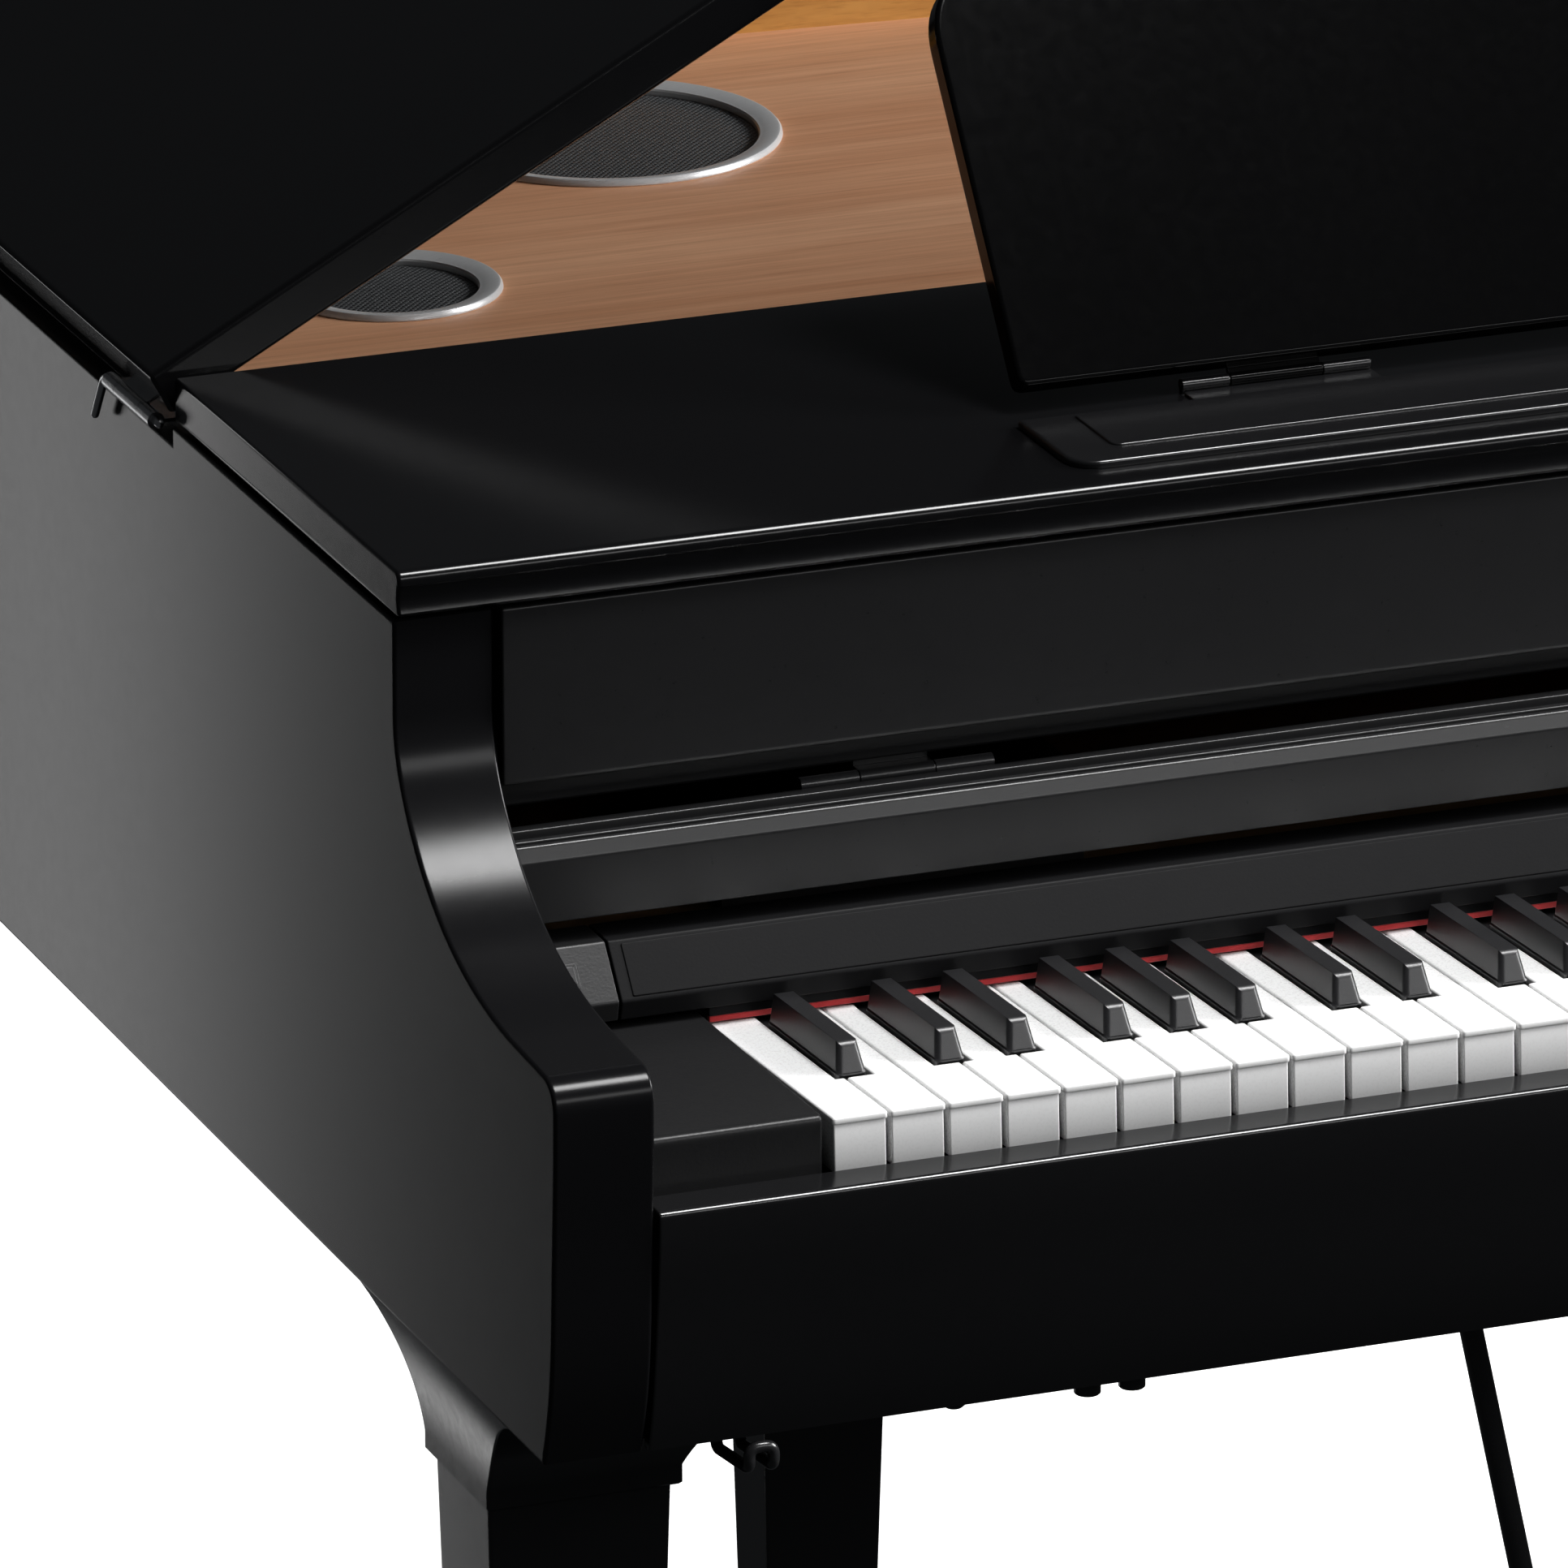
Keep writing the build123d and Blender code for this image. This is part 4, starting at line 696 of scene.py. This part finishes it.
def bar_end(sign):
    """End of the control bar, between it and the arm."""
    outer, inner = sign * (INNER - 0.2), sign * (BAR_REACH + 1)
    return slab(stations(bar_corners, bar_ease), min(outer, inner), max(outer, inner), "x", 0.4, band=0.3)


SWITCH_X = across(-58.0)
switch_frame = on_bar_face(SWITCH_X - 5.4, SWITCH_X + 5.4, 7.2, 18.0, 0.35, 0.4, 1.2, 0.25)
piece("bar_ends", "case", "satin_black", SATIN_BLACK, [bar_end(-1), bar_end(1), switch_frame],
      "bar_end_blocks")
piece("switch_cap", "power_switch", "satin_black", SATIN_BLACK,
      [on_bar_face(SWITCH_X - 4, SWITCH_X + 4, 8.7, 16.7, 1.5, 0.2, 1.0, 0.6)], "power_switch")
felt_section = stations(rectangle(128, -5.6, 131, -3.2), 0.5)
piece("felt_strip", "case", "red_felt", RED_FELT, [slab(felt_section, KEY_X, -KEY_X, "x", 0.4, band=0.2)],
      "key_felt")


# ---------------------------------------------------------------- keys
def tilted(points):
    """Level key turned down at the back about the top of its front edge, then put in its place."""
    c, s = math.cos(KEY_SLOPE), math.sin(KEY_SLOPE)
    y, z = points[:, 1], points[:, 2]
    return np.stack([points[:, 0], KEY_Y + c * y + s * z, KEY_TOP - s * y + c * z], 1)


def black_centre(index):
    """Centre of the black key after white key index, from the bass end, or None."""
    name = SHARP_AFTER.get(WHITE_NAMES[index % 7])
    if name is None or not 0 <= index < WHITE_KEYS - 1:
        return None
    return (index + 1) * PITCH + BLACK_SHIFT[name]


def white_key(index):
    """White key: its plan, narrower beside the black keys, drawn in by steps: a thin overhanging top plate
    with a rounded upper edge over a slightly smaller body."""
    left, right = index * PITCH + KEY_GAP / 2, (index + 1) * PITCH - KEY_GAP / 2
    clear = BLACK_BASE / 2 + BLACK_SIDE_GAP
    before, after = black_centre(index - 1), black_centre(index)
    tail_left = left + 0.01 if before is None else max(left + 0.01, before + clear)
    tail_right = right - 0.01 if after is None else min(right - 0.01, after - clear)
    head = KEY_HEAD + 0.02
    plan = row((left, 0), (right, 0), (right, KEY_HEAD), (tail_right, head), (tail_right, KEY_REACH),
               (tail_left, KEY_REACH), (tail_left, head), (left, KEY_HEAD))
    step_right, step_left = tail_right < right - 0.5, tail_left > left + 0.5
    keep = np.array([True, True, step_right, step_right, True, True, step_left, step_left])
    ease = np.array([1.2, 1.2, 1.1, 0.8, 0.5, 0.5, 0.8, 1.1])
    outline = ready((plan[keep] + np.array([KEY_X, 0]), ease[keep], 4))
    t = np.linspace(0, np.pi / 2, 5)
    inset = np.concatenate([[0.9, 0.7, 0.7, 0.15, 0.0, 0.0], 0.9 * (1 - np.cos(t[1:])), [1.4]])
    body_level = [-KEY_HEIGHT, -KEY_HEIGHT + 0.3, -3.0, -2.7, -2.45, -0.9]
    level = np.concatenate([body_level, -0.9 * (1 - np.sin(t[1:])), [0]])
    rings = np.stack([ring_of(outline, k) for k in inset])
    grid = np.concatenate([rings, np.broadcast_to(level[:, None, None], rings.shape[:2] + (1,))], -1)
    return moved(skin(grid), tilted)


def black_key(index):
    """Black key: an arched section with a foot, its front leaning back and rounded over, on a plain stick."""
    centre, wide, top = across(black_centre(index)), BLACK_BASE / 2, BLACK_TOP / 2
    corners_of_arch = row((-wide, -2), (wide, -2), (wide, 0.7), (wide - 0.55, 1.3), (top, BLACK_RISE),
                          (-top, BLACK_RISE), (-wide + 0.55, 1.3), (-wide, 0.7))
    arch = (corners_of_arch + np.array([centre, 0]), row(0.1, 0.1, 0.25, 0.25, 2.9, 2.9, 0.25, 0.25)[0], 7)
    length = BLACK_CAP_BACK - BLACK_FRONT
    cap = slab(arch, 0, length, "y", 2.3, 0.6, band=0.4, steps=7)

    def leaned(points):
        """Front leaning back with height, less and less over the first part of the key's length."""
        lean = (BLACK_TOP_FRONT - BLACK_FRONT) / BLACK_RISE * points[:, 2].clip(0)
        share = (1 - points[:, 1] / 24.0).clip(0, 1)
        return points + np.stack([0 * lean, BLACK_FRONT + lean * share, 0 * lean], 1)

    stick = rectangle(-wide, -KEY_HEIGHT, wide, -2) + np.array([centre, 0]), 0.4, 3
    body = slab(stick, BLACK_FRONT + 0.3, KEY_REACH, "y", 0.3, band=0.2)
    return [moved(moved(cap, leaned), tilted), moved(body, tilted)]


white_sets = {name: [] for name in WHITE_NAMES}
black_sets = {name: [] for name in SHARP_AFTER.values()}
for key_index in range(WHITE_KEYS):
    white_sets[WHITE_NAMES[key_index % 7]].append(white_key(key_index))
    if black_centre(key_index) is not None:
        black_sets[SHARP_AFTER[WHITE_NAMES[key_index % 7]]] += black_key(key_index)
for name, parts in white_sets.items():
    piece(f"white_{name}_tops", f"white_keys_{name}", "white_key", WHITE_KEY, parts, f"white_keys_{name}")
for name, parts in black_sets.items():
    piece(f"black_{name}_caps", f"black_keys_{name}", "black_key", BLACK_KEY, parts, f"black_keys_{name}")


# ---------------------------------------------------------------- key cover
COVER_REACH, COVER_HINGES = INNER - 3.0, (across(90.0), 0.0, -across(90.0))
pivot_y, pivot_z, fold_y, fold_z = back(161.5), up(73.5), back(161.0), up(165.0)


def barrel(x0, x1, y, z, radius, bore):
    """Hinge barrel along X: a hoop with slightly rounded ends."""
    ease = 0.25
    profile = eased(row((bore, x0), (radius, x0), (radius, x1), (bore, x1)), ease, 3)
    return lathe(profile, (0, y, z), 24, "x", hoop=True)


def cover_upper():
    """Upper leaf of the key cover with its knuckles at the rail and at the fold."""
    y0, thick = 167.0, 6.0
    panel = stations(rectangle(y0, 78, y0 + thick, 160), 1.2)
    parts = [slab(panel, -COVER_REACH, COVER_REACH, "x", 0.8)]
    for x in COVER_HINGES:
        arm = stations(((161.5, 73.3), (y0 + thick - 0.2, 73.3), (y0 + thick - 0.2, 79.5), (y0 + 0.2, 79.5),
                        (y0 + 0.2, 76.5), (161.5, 76.5)), 0.3, 3)
        parts += [slab(arm, x - 15.5, x + 15.5, "x", 0.3, band=0.2),
                  barrel(x - 15.5, x + 15.5, pivot_y, pivot_z, 3.2, 1.55)]
        leaf = stations(((160.2, 158.5), (y0 + 1, 158.5), (y0 + 1, 160), (161.8, 160), (161.8, 165),
                         (160.2, 165)), 0.2, 3)
        for low in (x - 30, x + 12):
            parts += [slab(leaf, low, low + 18, "x", 0.2, band=0.1),
                      barrel(low, low + 18, fold_y, fold_z, 2.6, 1.25)]
        parts.append(tube(row((x - 30, fold_y, fold_z), (x, fold_y, fold_z), (x + 30, fold_y, fold_z)), 1.2))
    return parts


def cover_lower():
    """Front leaf of the key cover: panel with a rounded lower edge, and its fold knuckles."""
    panel = stations(rectangle(148, 93.4, 155, 165), (2.2, 1.2, 1.0, 1.2), 7)
    parts = [slab(panel, -COVER_REACH, COVER_REACH, "x", 0.8)]
    for x in COVER_HINGES:
        tab = stations(rectangle(154, 162.4, 161, 164.2), 0.3, 3)
        parts += [slab(tab, x - 11.5, x + 11.5, "x", 0.2, band=0.1),
                  barrel(x - 11.5, x + 11.5, fold_y, fold_z, 2.6, 1.3)]
    return parts


piece("cover_upper_leaf", "cover_board", "piano_black", SATIN_PANEL, cover_upper(), "cover_board")
piece("cover_front_leaf", "cover_flap", "piano_black", SATIN_PANEL, cover_lower(), "cover_flap")


# ---------------------------------------------------------------- lid, hinge pins and stay
def opened(points):
    """Points drawn with the lid shut, turned up with the lid."""
    return about_y(points, HINGE_X, HINGE_Z, math.radians(LID_OPEN))


def lid_board():
    """Lid: the plan behind the fixed top, drawn in a little, both rims rounded."""
    inward = np.stack([-np.sin(plan_headings), np.cos(plan_headings)], 1)
    curve = plan_points + LID_INSET * inward
    reach, edge, cut = HALF - LID_INSET, back(406), 1.5
    front = row((-reach, edge + cut), (-reach + cut, edge), (reach - cut, edge), (reach, edge + cut))
    low = RIM_TOP + LID_LIFT
    return moved(slab(np.concatenate([front, curve]), low, low + LID_THICK, "z", 1.6, 2.2, band=0.6), opened)


piece("lid_slab", "lid", "piano_black", LID_BLACK, [lid_board()], "lid_panel")


def hinge_pin(station):
    """Pull pin: straight through the knuckles, then a bent handle."""
    y0, y1, lean = back(station) - 4, back(station) + HINGE_LENGTH + 6, math.radians(PIN_LEAN)
    tip = (HINGE_X, y1 + PIN_HANDLE * math.cos(lean), HINGE_Z - PIN_HANDLE * math.sin(lean))
    return tube(bent(row((HINGE_X, y0, HINGE_Z), (HINGE_X, y1, HINGE_Z), tip), 4.0), PIN_RADIUS, 20,
                ball=True)


piece("pull_pins", "case", "hinge_steel", HINGE_STEEL, [hinge_pin(y) for y in HINGE_STATIONS],
      "lid_hinge_pins")

STAY_OUT, STAY_DROP, STAY_ANGLE, STAY_WIDTH, STAY_THICK, STAY_TIP_GAP = 790.0, 40.0, 70.0, 16.0, 12.0, 0.9
stay_x, stay_z, stay_y = HINGE_X + STAY_OUT, HINGE_Z - STAY_DROP, back(403.0 + 17.0)


def stay_bar():
    """Prop: a round-ended bar lying along X, then turned up."""
    lift = math.radians(LID_OPEN)
    under_lid = STAY_OUT * math.sin(lift) + STAY_DROP * math.cos(lift) + LID_LIFT - HINGE_RISE
    room = under_lid - STAY_WIDTH / 2 - STAY_TIP_GAP
    length = room / math.sin(math.radians(STAY_ANGLE - LID_OPEN))
    t = np.linspace(-np.pi / 2, np.pi / 2, 17)
    round_end = STAY_WIDTH / 2 * np.stack([np.cos(t), np.sin(t)], 1)
    outline = np.concatenate([round_end + (length, 0), -round_end]) + np.array([stay_x, stay_z])
    bar = slab(outline, stay_y, stay_y + STAY_THICK, "y", 1.6)
    return moved(bar, lambda p: about_y(p, stay_x, stay_z, math.radians(STAY_ANGLE)))


piece("stay_prop", "lid_stay", "piano_black", PIANO_BLACK, [stay_bar()], "lid_stay")


# ---------------------------------------------------------------- music rest and tray
rest_y, rest_z = back(REST_HINGE_Y), BOARD_TOP + REST_HINGE_RISE


def raised(points):
    """Points drawn with the rest folded flat, turned up to its lean."""
    return about_x(points, rest_y, rest_z, math.radians(90 - REST_LEAN))


def rest_panel():
    """Music rest: a sheet with round top corners and rounded rims, with its hinge barrels."""
    half, z0 = REST_WIDTH / 2, BOARD_TOP + REST_LIFT
    sheet = (rectangle(-half, rest_y + 4.5, half, rest_y + REST_LENGTH),
             (4.5, 4.5, REST_CORNER * 1.25, REST_CORNER * 1.25), 15)
    parts = [slab(sheet, z0, z0 + REST_THICK, "z", 2.4, 1.6, band=0.6, steps=7)]
    for x in REST_HINGES:
        parts.append(barrel(x - 19.5, x + 19.5, rest_y, rest_z, 2.6, 1.25))
        web = eased(rectangle(rest_y + 1.5, rest_z - 0.8, rest_y + 6.0, rest_z + 0.8), 0.3, 3)
        parts.append(slab(web, x - 19.5, x + 19.5, "x", 0.3, band=0.2))
    return [moved(p, raised) for p in parts]


def tray():
    """Tray before the rest: a flat plate, a smaller raised plate on it, and the rest's hinges."""
    reach, y0, y1, z0 = REST_WIDTH / 2 + 6.0, back(163.0), back(222.0), BOARD_TOP
    outer = (rectangle(-reach, y0, reach, y1), (14, 14, 1, 1), 11)
    inner = (rectangle(-reach + 22, y0 + 15, reach - 22, y1 - 4), (5, 5, 2, 2), 9)
    parts = [slab(outer, z0, z0 + 3.2, "z", 0.3, 1.4, band=0.4),
             slab(inner, z0 + 2.5, z0 + 4.0, "z", 0.1, 0.6, band=0.3)]
    for x in REST_HINGES:
        plate = (rectangle(x - 40, rest_y - 14, x + 40, rest_y - 3), 1.5, 5)
        parts.append(slab(plate, z0, z0 + 1.2, "z", 0.1, 0.4, band=0.2))
        for low, high in ((x - 40, x - 20), (x + 20, x + 40)):
            lug = eased(rectangle(rest_y - 1.6, z0, rest_y + 1.6, rest_z), 0.3, 3)
            parts += [slab(lug, low, high, "x", 0.2, band=0.1), barrel(low, high, rest_y, rest_z, 2.6, 1.25)]
        parts.append(tube(row((x - 40, rest_y, rest_z), (x, rest_y, rest_z), (x + 40, rest_y, rest_z)), 1.15))
    return parts


piece("rest_board", "music_rest", "piano_black", REST_BLACK, rest_panel(), "music_rest")
piece("rest_tray", "case", "piano_black", PIANO_BLACK, tray(), "music_ledge")


# ---------------------------------------------------------------- loudspeakers
def ring(x, y, radius):
    """Trim ring: sloped collar with a bright rounded crest and a skirt down the cut-out."""
    z, inner = up(SOUNDBOARD_RISE), radius - RING_WIDE - 1.4
    section = row((inner, z - 6), (inner + 1.3, z - 6), (inner + 1.35, z), (radius - 0.4, z),
                  (radius, z + 0.5),
                  (radius - 0.2, z + 1.6), (radius - 1.2, z + RING_PROUD - 0.2),
                  (radius - 2.2, z + RING_PROUD),
                  (inner + 2.2, z + 1.4), (inner + 0.7, z + 1.2), (inner, z + 0.4))
    return lathe(section, (across(x), back(y), 0), 128, hoop=True)


def grille(x, y, radius):
    """Shallow domed disc inside the ring."""
    z, reach = up(SOUNDBOARD_RISE) - 1.5, radius - RING_WIDE - 1.6
    r = np.linspace(0.01, 1, 9) * reach
    crown = 1.2 * (1 - (r / reach) ** 2)
    section = np.concatenate([np.stack([r, z - 1.5 + crown], 1), np.stack([r, z + crown], 1)[::-1]])
    return lathe(section, (across(x), back(y), 0), 96)


piece("trim_rings", "case", "ring_metal", RING_METAL, [ring(*s) for s in SPEAKERS], "speaker_rings")
piece("grille_discs", "case", "grille_mesh", GRILLE_MESH, [grille(*s) for s in SPEAKERS], "speaker_grilles")


# ---------------------------------------------------------------- legs
CAPITAL_X, CAPITAL_Y, CAPITAL_HIGH, CAPITAL_FOOT, FLARE = 80.0, 71.0, 54.0, 8.0, 50.0
LEG_X, LEG_Y, LEG_TAPER, GLIDE_HIGH, GLIDE_RADIUS, LEG_INSET = 74.6, 59.6, 0.024, 20.0, 11.0, 10.0
leg_front = back(82.0) + CAPITAL_Y / 2
LEG_PLACES = ((-HALF + LEG_INSET + CAPITAL_X / 2, leg_front, LEG_INSET - 1, FLARE),
              (HALF - LEG_INSET - CAPITAL_X / 2, leg_front, FLARE, LEG_INSET - 1),
              (across(366.0), back(965.0), FLARE, FLARE))
capital_low = RIM_BOTTOM - CAPITAL_HIGH


def flare(spread):
    """How far a capital spreads at each of its levels: nothing up the foot, then along the circle that
    passes 0.36 of the spread out just above mid-height."""
    z1, z2 = CAPITAL_FOOT, CAPITAL_HIGH
    mid = (z1 + z2) / 2 + 4
    level = np.concatenate([[0, 0.8], [z1], np.linspace(z1, z2, 15)[1:]])
    ends = row((0, z1), (0.36 * spread, mid), (spread, z2))
    system = np.concatenate([2 * ends, np.ones((3, 1))], 1)
    cx, cz, c = np.linalg.solve(system, np.sum(ends ** 2, 1))
    radius = math.sqrt(c + cx ** 2 + cz ** 2)
    out = cx - np.sign(cx) * np.sqrt((radius ** 2 - (level - cz) ** 2).clip(0))
    return level, np.where(level > z1, out, 0.0)


def capital(x, y, low_spread, high_spread):
    """Flared block under the case: square levels that follow the flare on each side."""
    level, low = flare(low_spread)
    _, high = flare(high_spread)
    _, deep = flare(FLARE)
    low[0] = high[0] = deep[0] = -0.8
    half_x, half_y = CAPITAL_X / 2, CAPITAL_Y / 2
    return tapered(np.stack([capital_low + level, x - half_x - low, x + half_x + high,
                             y - half_y - deep, y + half_y + deep], 1), 1.2)


def leg(x, y, *_):
    """Square leg, narrower towards the floor."""
    z = np.array([GLIDE_HIGH, GLIDE_HIGH + 1, capital_low - 1, capital_low])
    trim = LEG_TAPER * (capital_low - z) + np.array([0.8, 0, 0, 0])
    half_x, half_y = LEG_X / 2 - trim, LEG_Y / 2 - trim
    return tapered(np.stack([z, x - half_x, x + half_x, y - half_y, y + half_y], 1), 1.6)


def glide(x, y, *_):
    """Turned foot: rounded tread, waist and collar."""
    r = GLIDE_RADIUS
    section = row((0.02, 0), (r - 2, 0), (r - 0.6, 0.5), (r, 1.8), (r, 6), (r - 0.8, 7.5), (r - 3, 8.5),
                  (r - 3, 14), (r - 0.8, 15.5), (r - 0.5, 16.5), (r - 0.5, 19.6), (0.02, 20))
    return lathe(section, (x, y, 0), 48)


piece("capital_blocks", "case", "piano_black", PIANO_BLACK, [capital(*p) for p in LEG_PLACES], "leg_capitals")
piece("square_legs", "case", "piano_black", PIANO_BLACK, [leg(*p) for p in LEG_PLACES], "legs")
piece("glide_feet", "case", "glide_steel", GLIDE_STEEL, [glide(*p) for p in LEG_PLACES], "leg_glides")


# ---------------------------------------------------------------- pedal lyre
PEDAL_Z, PEDAL_THICK, PEDAL_TIP, SHAFT_Y, PEDAL_WIDE, PEDAL_SPACING = 84.0, 9.0, 52.0, 226.0, 24.0, 72.0
LYRE_TOP, LYRE_LOW = BED_Z, corners("pedal_box")[1][2]
POST_PLACES, ROD_TOP_X, ROD_FOOT_X = (-65.0, 65.0), -across(326.7), -across(452.5)


def pedal(x):
    """Brass pedal: waisted outline with a round toe, fully rounded rims, and its hub."""
    tip, shaft, reach = back(PEDAL_TIP), back(SHAFT_Y), PEDAL_WIDE / 2
    t = np.linspace(0, np.pi, 25)
    toe = np.stack([-reach * np.cos(t), tip + reach - reach * np.sin(t)], 1)
    flank = through(row((reach, tip + reach), (reach, tip + 30), (9, tip + 70)), (0, 1), (0, 1), 20)[1:]
    outline = np.concatenate([toe, flank, row((9, shaft), (-9, shaft)), (flank * np.array([-1, 1]))[::-1]])
    outline = outline + np.array([x, 0])
    half = PEDAL_THICK / 2
    hub = eased(row((4.05, -9), (9, -9), (9, 9), (4.05, 9)), 0.8, 4)
    return [slab(outline, PEDAL_Z - half, PEDAL_Z + half, "z", 2.4, 3.2, steps=7),
            lathe(hub, (x, shaft, PEDAL_Z), 40, "x", hoop=True)]


for name, place in zip(("left", "middle", "right"), (-PEDAL_SPACING, 0.0, PEDAL_SPACING)):
    piece(f"{name}_pedal_lever", f"{name}_pedal", "pedal_brass", PEDAL_BRASS, pedal(place), f"{name}_pedal")


def lyre_post(x):
    """Turned post: a bead and a hollow near each end, a slim swell between."""
    run = LYRE_TOP - LYRE_LOW
    half = row((0.02, 0), (15.2, 0), (16, 0.8), (16, 10), (15, 11.5), (13.2, 12), (13, 16), (14.2, 18),
               (15.2, 21),
               (15.2, 25), (14.2, 28), (12.8, 30), (12.6, 34))
    swell = np.linspace(0, 1, 13)[1:-1]
    shaft = np.stack([12.6 + 1.8 * np.sin(np.pi * swell), 34 + (run - 68) * swell], 1)
    section = np.concatenate([half, shaft, (half * np.array([1, -1]) + np.array([0, run]))[::-1]])
    return lathe(section, (x, back(200.0), LYRE_LOW), 56)


def lyre_rod(sign):
    """Slim rod from the pedal housing out to the key bed."""
    top = np.array([sign * ROD_TOP_X, back(181.8), BED_Z - 0.5])
    foot = np.array([sign * ROD_FOOT_X, back(230.5), LYRE_LOW + 0.5])
    return tube(top + np.linspace(0, 1, 5)[:, None] * (foot - top), 4.8, 24)


piece("lyre_pillars", "case", "piano_black", PIANO_BLACK, [lyre_post(x) for x in POST_PLACES], "lyre_posts")
piece("lyre_rods", "case", "black_metal", BLACK_METAL, [lyre_rod(s) for s in (-1, 1)], "lyre_stays")


# ---------------------------------------------------------------- fittings under the key bed
WIRE_RADIUS, SOCKET_STATIONS = 2.35, (117.1, 135.6)


def hook():
    """Headphone hook: one wire down, forward, up and back again."""
    near, far, leg_y, tip_y, bed = across(-36.0), across(-26.2), back(28.0), back(-7.0), BED_Z
    path = row((near, leg_y, bed), (near, leg_y, up(-138)), (near, tip_y, up(-134)),
               (near, tip_y, up(-125.5)),
               (far, tip_y, up(-125.5)), (far, tip_y, up(-134)), (far, leg_y, up(-138)), (far, leg_y, bed))
    return bent(path, 3.9, 9)


def bed_screw():
    """Round-headed screw under the bed, its head domed."""
    x, y, low = across(61.9), back(30.0), up(-136.9)
    section = row((0.02, low), (3.2, low + 0.3), (4.5, low + 1.4), (4.8, low + 2.6), (4.8, BED_Z),
                  (0.02, BED_Z))
    return lathe(section, (x, y, 0), 40)


def socket(x):
    """Headphone socket: open bushing with a rounded collar at its mouth."""
    z0, z1, r = up(-139.0), BED_Z - 6.0, 5.25
    section = row((3.25, z1), (3.25, z0 + 0.4), (3.6, z0), (r - 0.5, z0), (r, z0 + 0.5), (r, z0 + 4.6),
                  (r - 0.5, z0 + 5.1), (r - 0.5, z1))
    return lathe(section, (across(x), back(30.0), 0), 48, hoop=True)


piece("hanger_hook", "case", "black_metal", BLACK_METAL, [wire(hook(), WIRE_RADIUS), bed_screw()],
      "headphone_hanger")
piece("socket_bushings", "case", "black_metal", BLACK_METAL, [socket(x) for x in SOCKET_STATIONS],
      "phones_sockets")

for kept_finish, node_names in KEPT_FINISHES.items():
    for node_name in node_names:
        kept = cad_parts[node_name]
        kept.data.materials.clear()
        kept.data.materials.append(kept_finish)


# ---------------------------------------------------------------- floor, light and camera
def studio():
    """Pale floor, and a dim soft world that is white to the eye."""
    bpy.ops.mesh.primitive_plane_add(size=400, location=(0, 0, -0.0005))
    floor = bpy.context.object
    floor.name = "floor"
    made, tree, main, node = shader("pale_floor")
    at = node("TexCoord").outputs["Object"]
    cloud = node("TexNoise", {"Vector": at, "Scale": 2.0, "Detail": 3.0}).outputs["Fac"]
    pale = blend_of(node, cloud, (0.90, 0.90, 0.90), (0.93, 0.93, 0.93))
    tree.links.new(pale, main.inputs["Base Color"])
    tree.links.new(pale, main.inputs["Emission Color"])
    main.inputs["Emission Strength"].default_value = 1.0
    main.inputs["Roughness"].default_value = 1.0
    floor.data.materials.append(made)
    floor.visible_glossy = False
    floor.visible_diffuse = False
    floor.visible_shadow = False
    world = bpy.data.worlds.new("soft_studio")
    bpy.context.scene.world = world
    world.use_nodes = True
    links, nodes = world.node_tree.links, world.node_tree.nodes
    lit = nodes["Background"]
    lit.inputs["Color"].default_value = (0.9, 0.95, 1.0, 1)
    lit.inputs["Strength"].default_value = 0.03
    seen = nodes.new("ShaderNodeBackground")
    seen.inputs["Color"].default_value = (1, 1, 1, 1)
    ray, mix = nodes.new("ShaderNodeLightPath"), nodes.new("ShaderNodeMixShader")
    links.new(ray.outputs["Is Camera Ray"], mix.inputs[0])
    links.new(lit.outputs[0], mix.inputs[1])
    links.new(seen.outputs[0], mix.inputs[2])
    links.new(mix.outputs[0], nodes["World Output"].inputs["Surface"])


def lamp(name, place, target, size, power, tall=None):
    """Rectangular soft lamp at place, facing target, size wide and tall high."""
    light = bpy.data.lights.new(name, "AREA")
    light.shape, light.size, light.size_y, light.energy = "RECTANGLE", size, tall or size, power
    holder = bpy.data.objects.new(name, light)
    bpy.context.scene.collection.objects.link(holder)
    away = Vector(target) - Vector(place)
    holder.location = place
    holder.rotation_euler = away.to_track_quat("-Z", "Y").to_euler()
    holder.visible_camera = False
    return holder


studio()
lamp("crown_softbox", (0.75, -1.35, 4.2), (-0.1, -0.45, 0.8), 1.1, 165.0)
lamp("low_front_softbox", (1.5, -4.3, 2.8), (0.0, -0.4, 0.8), 3.4, 40.0, 0.7)
lamp("treble_softbox", (3.6, -1.6, 2.6), (-0.1, 0.3, 0.86), 1.6, 260.0)
lamp("rear_left_softbox", (-1.05, 0.95, 0.42), (-0.745, 0.1, 0.7), 0.16, 0.9, 1.2)

CAMERA_AT, CAMERA_TURN, CAMERA_DIP, CAMERA_ROLL = (-2.569, -5.5985, 2.770), 21.23, 19.39, 0.11
eye = bpy.data.cameras.new("view_camera")
eye.lens, eye.sensor_width, eye.sensor_fit = 350.4, 36.0, "HORIZONTAL"
eye.clip_start, eye.clip_end = 0.1, 1000.0
camera = bpy.data.objects.new("view_camera", eye)
bpy.context.scene.collection.objects.link(camera)
camera.location = CAMERA_AT
camera.rotation_euler = (math.radians(90 - CAMERA_DIP), math.radians(CAMERA_ROLL), math.radians(-CAMERA_TURN))
bpy.context.scene.camera = camera
bpy.context.scene.view_settings.view_transform = "Standard"
